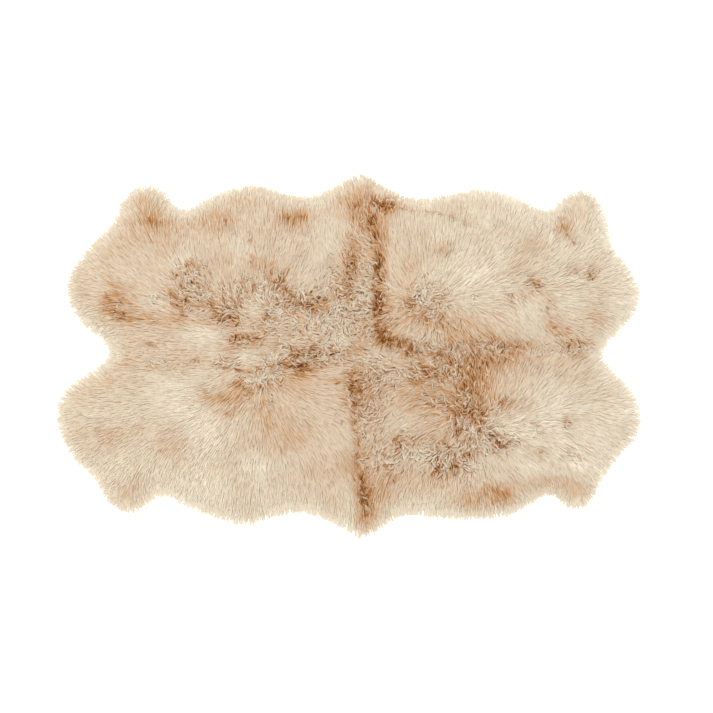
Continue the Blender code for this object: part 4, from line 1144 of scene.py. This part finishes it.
def grow_combed(skin, hide, rim, rng):
    """Make the combed locks that cover a whole skin."""
    low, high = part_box("hide_" + skin)
    staples = scattered(low, high, COMBED_STAPLE_SPACING, rng)
    staples = staples[over(hide, staples)]
    count = len(staples)
    angle, unruly = comb_angle(skin, staples)
    curl = np.maximum(curl_at(shown_at(skin, staples, COMBED_LENGTH)), 0.7 * unruly)
    lengths = COMBED_LENGTH * rng.uniform(*COMBED_UNEVEN, count) * (1 - 0.35 * curl)
    lean = rng.normal(0, COMBED_LEAN, count)
    lean += (0.5 * curl + 0.6 * unruly) * rng.normal(0, 1, count)
    lean += 0.10 * soft_noise(staples, 0.018, 17)
    bend = rng.normal(0, COMBED_BEND, count) + curl * rng.normal(0, 0.8, count)
    ends = rng.uniform(*RIM_ENDS, count)
    back = (UNRULY_BACK * unruly * lengths)[:, None] * heading(angle)
    paths, gap = comb_paths(skin, rim, staples - back, lengths, lean, bend, 6, ends)
    roots = scattered(low, high, COMBED_SPACING, rng)
    roots = roots[over(hide, roots)]
    owner = nearest_of(staples, roots)
    offset = roots - staples[owner]
    count = len(roots)
    own = curl[owner]
    outer = np.exp(-(gap[owner, None] / RIM_TURN) ** 2)
    share = np.array([[0.0, 0.45, 1.0]]) + np.array([[0.0, 0.48, 0.0]]) * outer
    kept = 1 - 0.10 * share ** 1.2
    shorter = SHORTER - RIM_EVENER * outer
    shares = share * (1 - shorter * rng.uniform(0, 1, (count, 1)) ** 1.5)
    place = between(paths, owner, shares) + offset[:, None] * kept[:, :, None]
    astray = (COMBED_ASTRAY + CURLY_ASTRAY * own)[:, None] * rng.normal(0, 1, (count, 2))
    run = paths[owner, -1] - paths[owner, 0]
    run /= np.linalg.norm(run, axis=1, keepdims=True)
    aside = RIM_ASTRAY * outer * rng.normal(0, 1, (count, 1))
    astray = astray * (1 - RIM_CALM * outer) + left_of(run) * aside
    place += astray[:, None] * share[:, :, None]
    height = form_at(place) - COMBED_DEPTH * (1 - share) ** 1.8
    height = np.maximum(height, RIM_LOFT * (1 - 0.75 * share))
    proud = rng.normal(0, 1, (count, 1)) * (1 - RIM_CALM * outer)
    height += 0.0015 * share + 0.0008 * proud
    height += 0.0008 * soft_noise(staples[owner], 0.007, 15)[:, None]
    height += own[:, None] * (-0.004 + 0.004 * share * proud)
    profile = np.array([0.7, 1.0, 0.0])
    width = COMBED_WIDTH * rng.uniform(0.75, 1.2, count)
    width *= 1 - RIM_NARROWER * np.exp(-(gap[owner] / RIM_NARROWER_WITHIN) ** 2)
    stain = np.clip(rng.normal(0.92, 0.4, (count, 1)), 0.0, 2.0)
    # combed locks lying under the curls are painted browner, as painted shade beneath the curls
    tones = tone_at(place, stain) + 0.17 * own[:, None]
    tones += (0.03 - 0.018 * outer) * rng.normal(0, 1, (count, 1))
    # locks that lie lower are painted browner and those that stand proud paler: painted shade and light by
    # height
    tones -= (0.012 + 0.05 * own[:, None]) * proud
    tones += (0.03 - 0.015 * outer) * soft_noise(staples[owner], 0.006, 16)[:, None]
    full = np.concatenate([place, height[:, :, None]], 2)
    lock_mesh("combed_wool_" + skin, full, width[:, None] * profile[None],
              rng.normal(0, LOCK_ROLL, count), tones, COMBED_SOFTNESS)


CURL_SPACING = 0.0104   # between curled staples
CURL_LOCKS = 6          # in each of them
CURL_WIDTH = 0.0021
CURL_SPREAD = 0.0032    # how far a curled staple spreads to each side
CURL_LENGTH = 0.030
CURL_BEND = (0.6, 2.2)  # how far it turns along its length, in radians
CURL_LIFT = (0.0015, 0.006)     # how far it stands over the wool's form
CURL_SOFTNESS = 0.55
SHADE_LOCK_OFTEN = 0.75     # this share of the curls has a deep brown lock on its outer side, painted shade of the crease there
SHADE_LOCK_THIN = 0.65      # which is thinner, by this factor
SHADE_LOCK_DARKER = 0.70


def grow_curls(skin, hide, rim, rng):
    """Make the curled locks that stand out of the combed ones where the wool is unruly."""
    low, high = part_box("hide_" + skin)
    staples = scattered(low, high, CURL_SPACING, rng)
    staples = staples[over(hide, staples)]
    angle, unruly = comb_angle(skin, staples)
    curl = np.maximum(curl_at(shown_at(skin, staples, CURL_LENGTH)), 0.7 * unruly)
    chosen = curl > rng.uniform(0.08, 0.75, len(staples))
    staples, angle, unruly, curl = staples[chosen], angle[chosen], unruly[chosen], curl[chosen]
    count = len(staples)
    lengths = CURL_LENGTH * rng.uniform(0.8, 1.25, count)
    back = (UNRULY_BACK * unruly * lengths)[:, None] * heading(angle)
    staples = staples - back
    lean = (0.35 + 1.3 * unruly) * rng.normal(0, 1, count) + 1.1 * soft_noise(staples, 0.028, 18)
    side = np.sign(soft_noise(staples, 0.022, 19) + rng.normal(0, 0.15, count))
    bend = side * rng.uniform(*CURL_BEND, count)
    ends = np.full(count, 0.7)
    paths, _ = comb_paths(skin, rim, staples, lengths, lean, bend, 7, ends)
    owner = np.repeat(np.arange(count), CURL_LOCKS)
    beside = np.tile(np.linspace(-1, 1, CURL_LOCKS), count) * side[owner]
    count = len(owner)
    run = paths[:, 3] - paths[:, 0]
    run /= np.linalg.norm(run, axis=1, keepdims=True)
    across = left_of(run)[owner]
    offset = across * (beside * CURL_SPREAD)[:, None] + rng.normal(0, 0.0009, (count, 2))
    offset += run[owner] * rng.normal(0, 0.002, (count, 1))
    share = np.array([0.0, 0.30, 0.65, 1.0])
    kept = 1 - 0.45 * share[None] ** 1.5
    shares = np.broadcast_to(share, (count, len(share)))
    place = between(paths, owner, shares) + offset[:, None] * kept[:, :, None]
    shade_lock = np.tile(np.arange(CURL_LOCKS) == 0, len(staples))
    shade_lock &= (rng.uniform(0, 1, len(staples)) < SHADE_LOCK_OFTEN)[owner]
    lift = (rng.uniform(*CURL_LIFT, len(staples)) * (0.3 + 0.7 * curl))[owner]
    sunk = np.interp(share, [0, 0.3, 0.6, 1.0], [-0.014, -0.003, 0.0, -0.002])
    rise = np.array([0.0, 0.6, 1.0, 0.6])
    height = form_at(place) + sunk[None] + lift[:, None] * rise[None]
    height += rng.normal(0, 0.0005, count)[:, None] - 0.0010 * beside[:, None] ** 2
    height += 0.0012 * shade_lock[:, None]
    profile = np.array([0.7, 1.0, 0.85, 0.0])
    width = CURL_WIDTH * rng.uniform(0.75, 1.2, count)
    width[shade_lock] *= SHADE_LOCK_THIN
    stain = np.clip(rng.normal(0.8, 0.3, len(staples)), 0.1, 1.6)[owner][:, None]
    # the dark lock beside a curl is painted shade of the crease there
    tones = tone_at(place, stain) + SHADE_LOCK_DARKER * shade_lock[:, None]
    # each curl is painted browner at its sunk root, partly its own colour and partly painted shade, and
    # paler the higher it stands, as painted light
    tones += np.array([0.30, 0.05, -0.05, -0.05])[None]
    tones += rng.normal(0, 0.03, (count, 1)) - 10.0 * (lift[:, None] - 0.002)
    full = np.concatenate([place, height[:, :, None]], 2)
    lock_mesh("curled_wool_" + skin, full, width[:, None] * profile[None],
              rng.normal(0, LOCK_ROLL, count), tones, CURL_SOFTNESS)


PARTING_WIDTH = 0.0026  # of one of the deep brown locks
PARTING_SOFTNESS = 0.9


def part_wool_in_shade(rng):
    """Make the deep brown locks where the wool parts: its roots' brown and painted shade."""
    middles, lengths, angles, amounts = [], [], [], []
    for px, py, length, angle, amount in SHADED_PARTINGS:
        for _ in range(2 + int(length / 3)):
            turn = math.radians(angle) + rng.normal(0, 0.12)
            aside, ahead = rng.normal(0, 0.55), rng.uniform(-0.2, 0.2) * length
            middles.append((px + ahead * math.cos(turn) - aside * math.sin(turn) - RUG_CENTRE_PX[0],
                            RUG_CENTRE_PX[1] - py + ahead * math.sin(turn) + aside * math.cos(turn)))
            lengths.append(length * rng.uniform(0.6, 1.0))
            angles.append(turn)
            amounts.append(amount)
    count = len(middles)
    middles, lengths = np.array(middles) * PX, np.array(lengths) * PX
    share = np.array([0.0, 0.35, 0.7, 1.0])
    turn = np.array(angles)[:, None] + rng.normal(0, 0.5, (count, 1)) * (share - 0.5)[None]
    along = (lengths[:, None] * (share - 0.5)[None])[:, :, None]
    place = middles[:, None] + heading(turn) * along
    height = form_at(place) + rng.uniform(0.0, 0.004, (count, 1))
    height += np.array([-0.002, 0.001, 0.001, -0.001])[None]
    width = PARTING_WIDTH * rng.uniform(0.7, 1.2, count)[:, None] * np.array([[0.5, 1, 0.8, 0]])
    tones = tone_at(place, 0.8) + np.array(amounts)[:, None] * rng.uniform(0.7, 1.1, (count, 1))
    tones -= 0.15
    full = np.concatenate([place, height[:, :, None]], 2)
    lock_mesh("parted_wool_painted_shade", full, width, rng.normal(0, LOCK_ROLL, count), tones,
              PARTING_SOFTNESS)


UNDER_REACH = 0.75      # the slab's own locks at the rim are drawn in to this share
UNDER_SUNK = (0.0045, 0.008)    # how far it is lowered, and how much further under curls
UNDER_ROOTS_AND_SHADE = (0.20, 0.30)    # how much browner it is, partly painted shade under the locks, and how much more so there


def under_wool(skin, rim):
    """Make the dense wool under the locks from a skin's own slab, a little lower."""
    piece = copy_of("wool_" + skin, "under_wool_" + skin)
    mesh = piece.data
    co = np.empty(len(mesh.vertices) * 3)
    mesh.vertices.foreach_get("co", co)
    co = co.reshape(-1, 3)
    edge, ways = rim
    nearest = np.linalg.norm(co[:, None, :2] - edge[None], axis=2).argmin(1)
    gap = co[:, :2] - edge[nearest]
    outside = (gap * ways[nearest]).sum(1) > 0
    co[outside, :2] -= (1 - UNDER_REACH) * gap[outside]
    sunk = UNDER_SUNK[0] + UNDER_SUNK[1] * curl_at(co)
    co[:, 2] -= sunk * np.clip((co[:, 2] - 0.004) / 0.02, 0, 1)
    mesh.vertices.foreach_set("co", co.ravel())
    thin = np.clip(1 - form_at(co) / RIM_PAINTED_LIGHT_BELOW, 0, 1)
    # browner under the locks: partly the roots' own colour, partly painted shade
    browner = UNDER_ROOTS_AND_SHADE[0] + UNDER_ROOTS_AND_SHADE[1] * curl_at(co)
    tone = tone_at(co) + browner * (1 - thin)
    shake = np.random.default_rng(5).uniform(-0.03, 0.03, (len(co), 2))
    uv = np.stack([tone * MAP_TONE + shake[:, 0], 0.8 + shake[:, 1]], 1)
    loops = np.empty(len(mesh.loops), int)
    mesh.loops.foreach_get("vertex_index", loops)
    for layer in list(mesh.uv_layers):
        mesh.uv_layers.remove(layer)
    layer = mesh.uv_layers.new(name="OFBake")
    layer.uv.foreach_set("vector", np.clip(uv, 0, 1)[loops].astype(np.float32).ravel())
    mesh.materials.append(wool)
    mesh.shade_smooth()


rim = rug_rim()
for skin in SKINS:
    rng = np.random.default_rng(SKINS.index(skin) + 20)
    hide = tree_of(["hide_" + skin])
    under_wool(skin, rim)
    grow_combed(skin, hide, rim, rng)
    grow_curls(skin, hide, rim, rng)
part_wool_in_shade(np.random.default_rng(30))
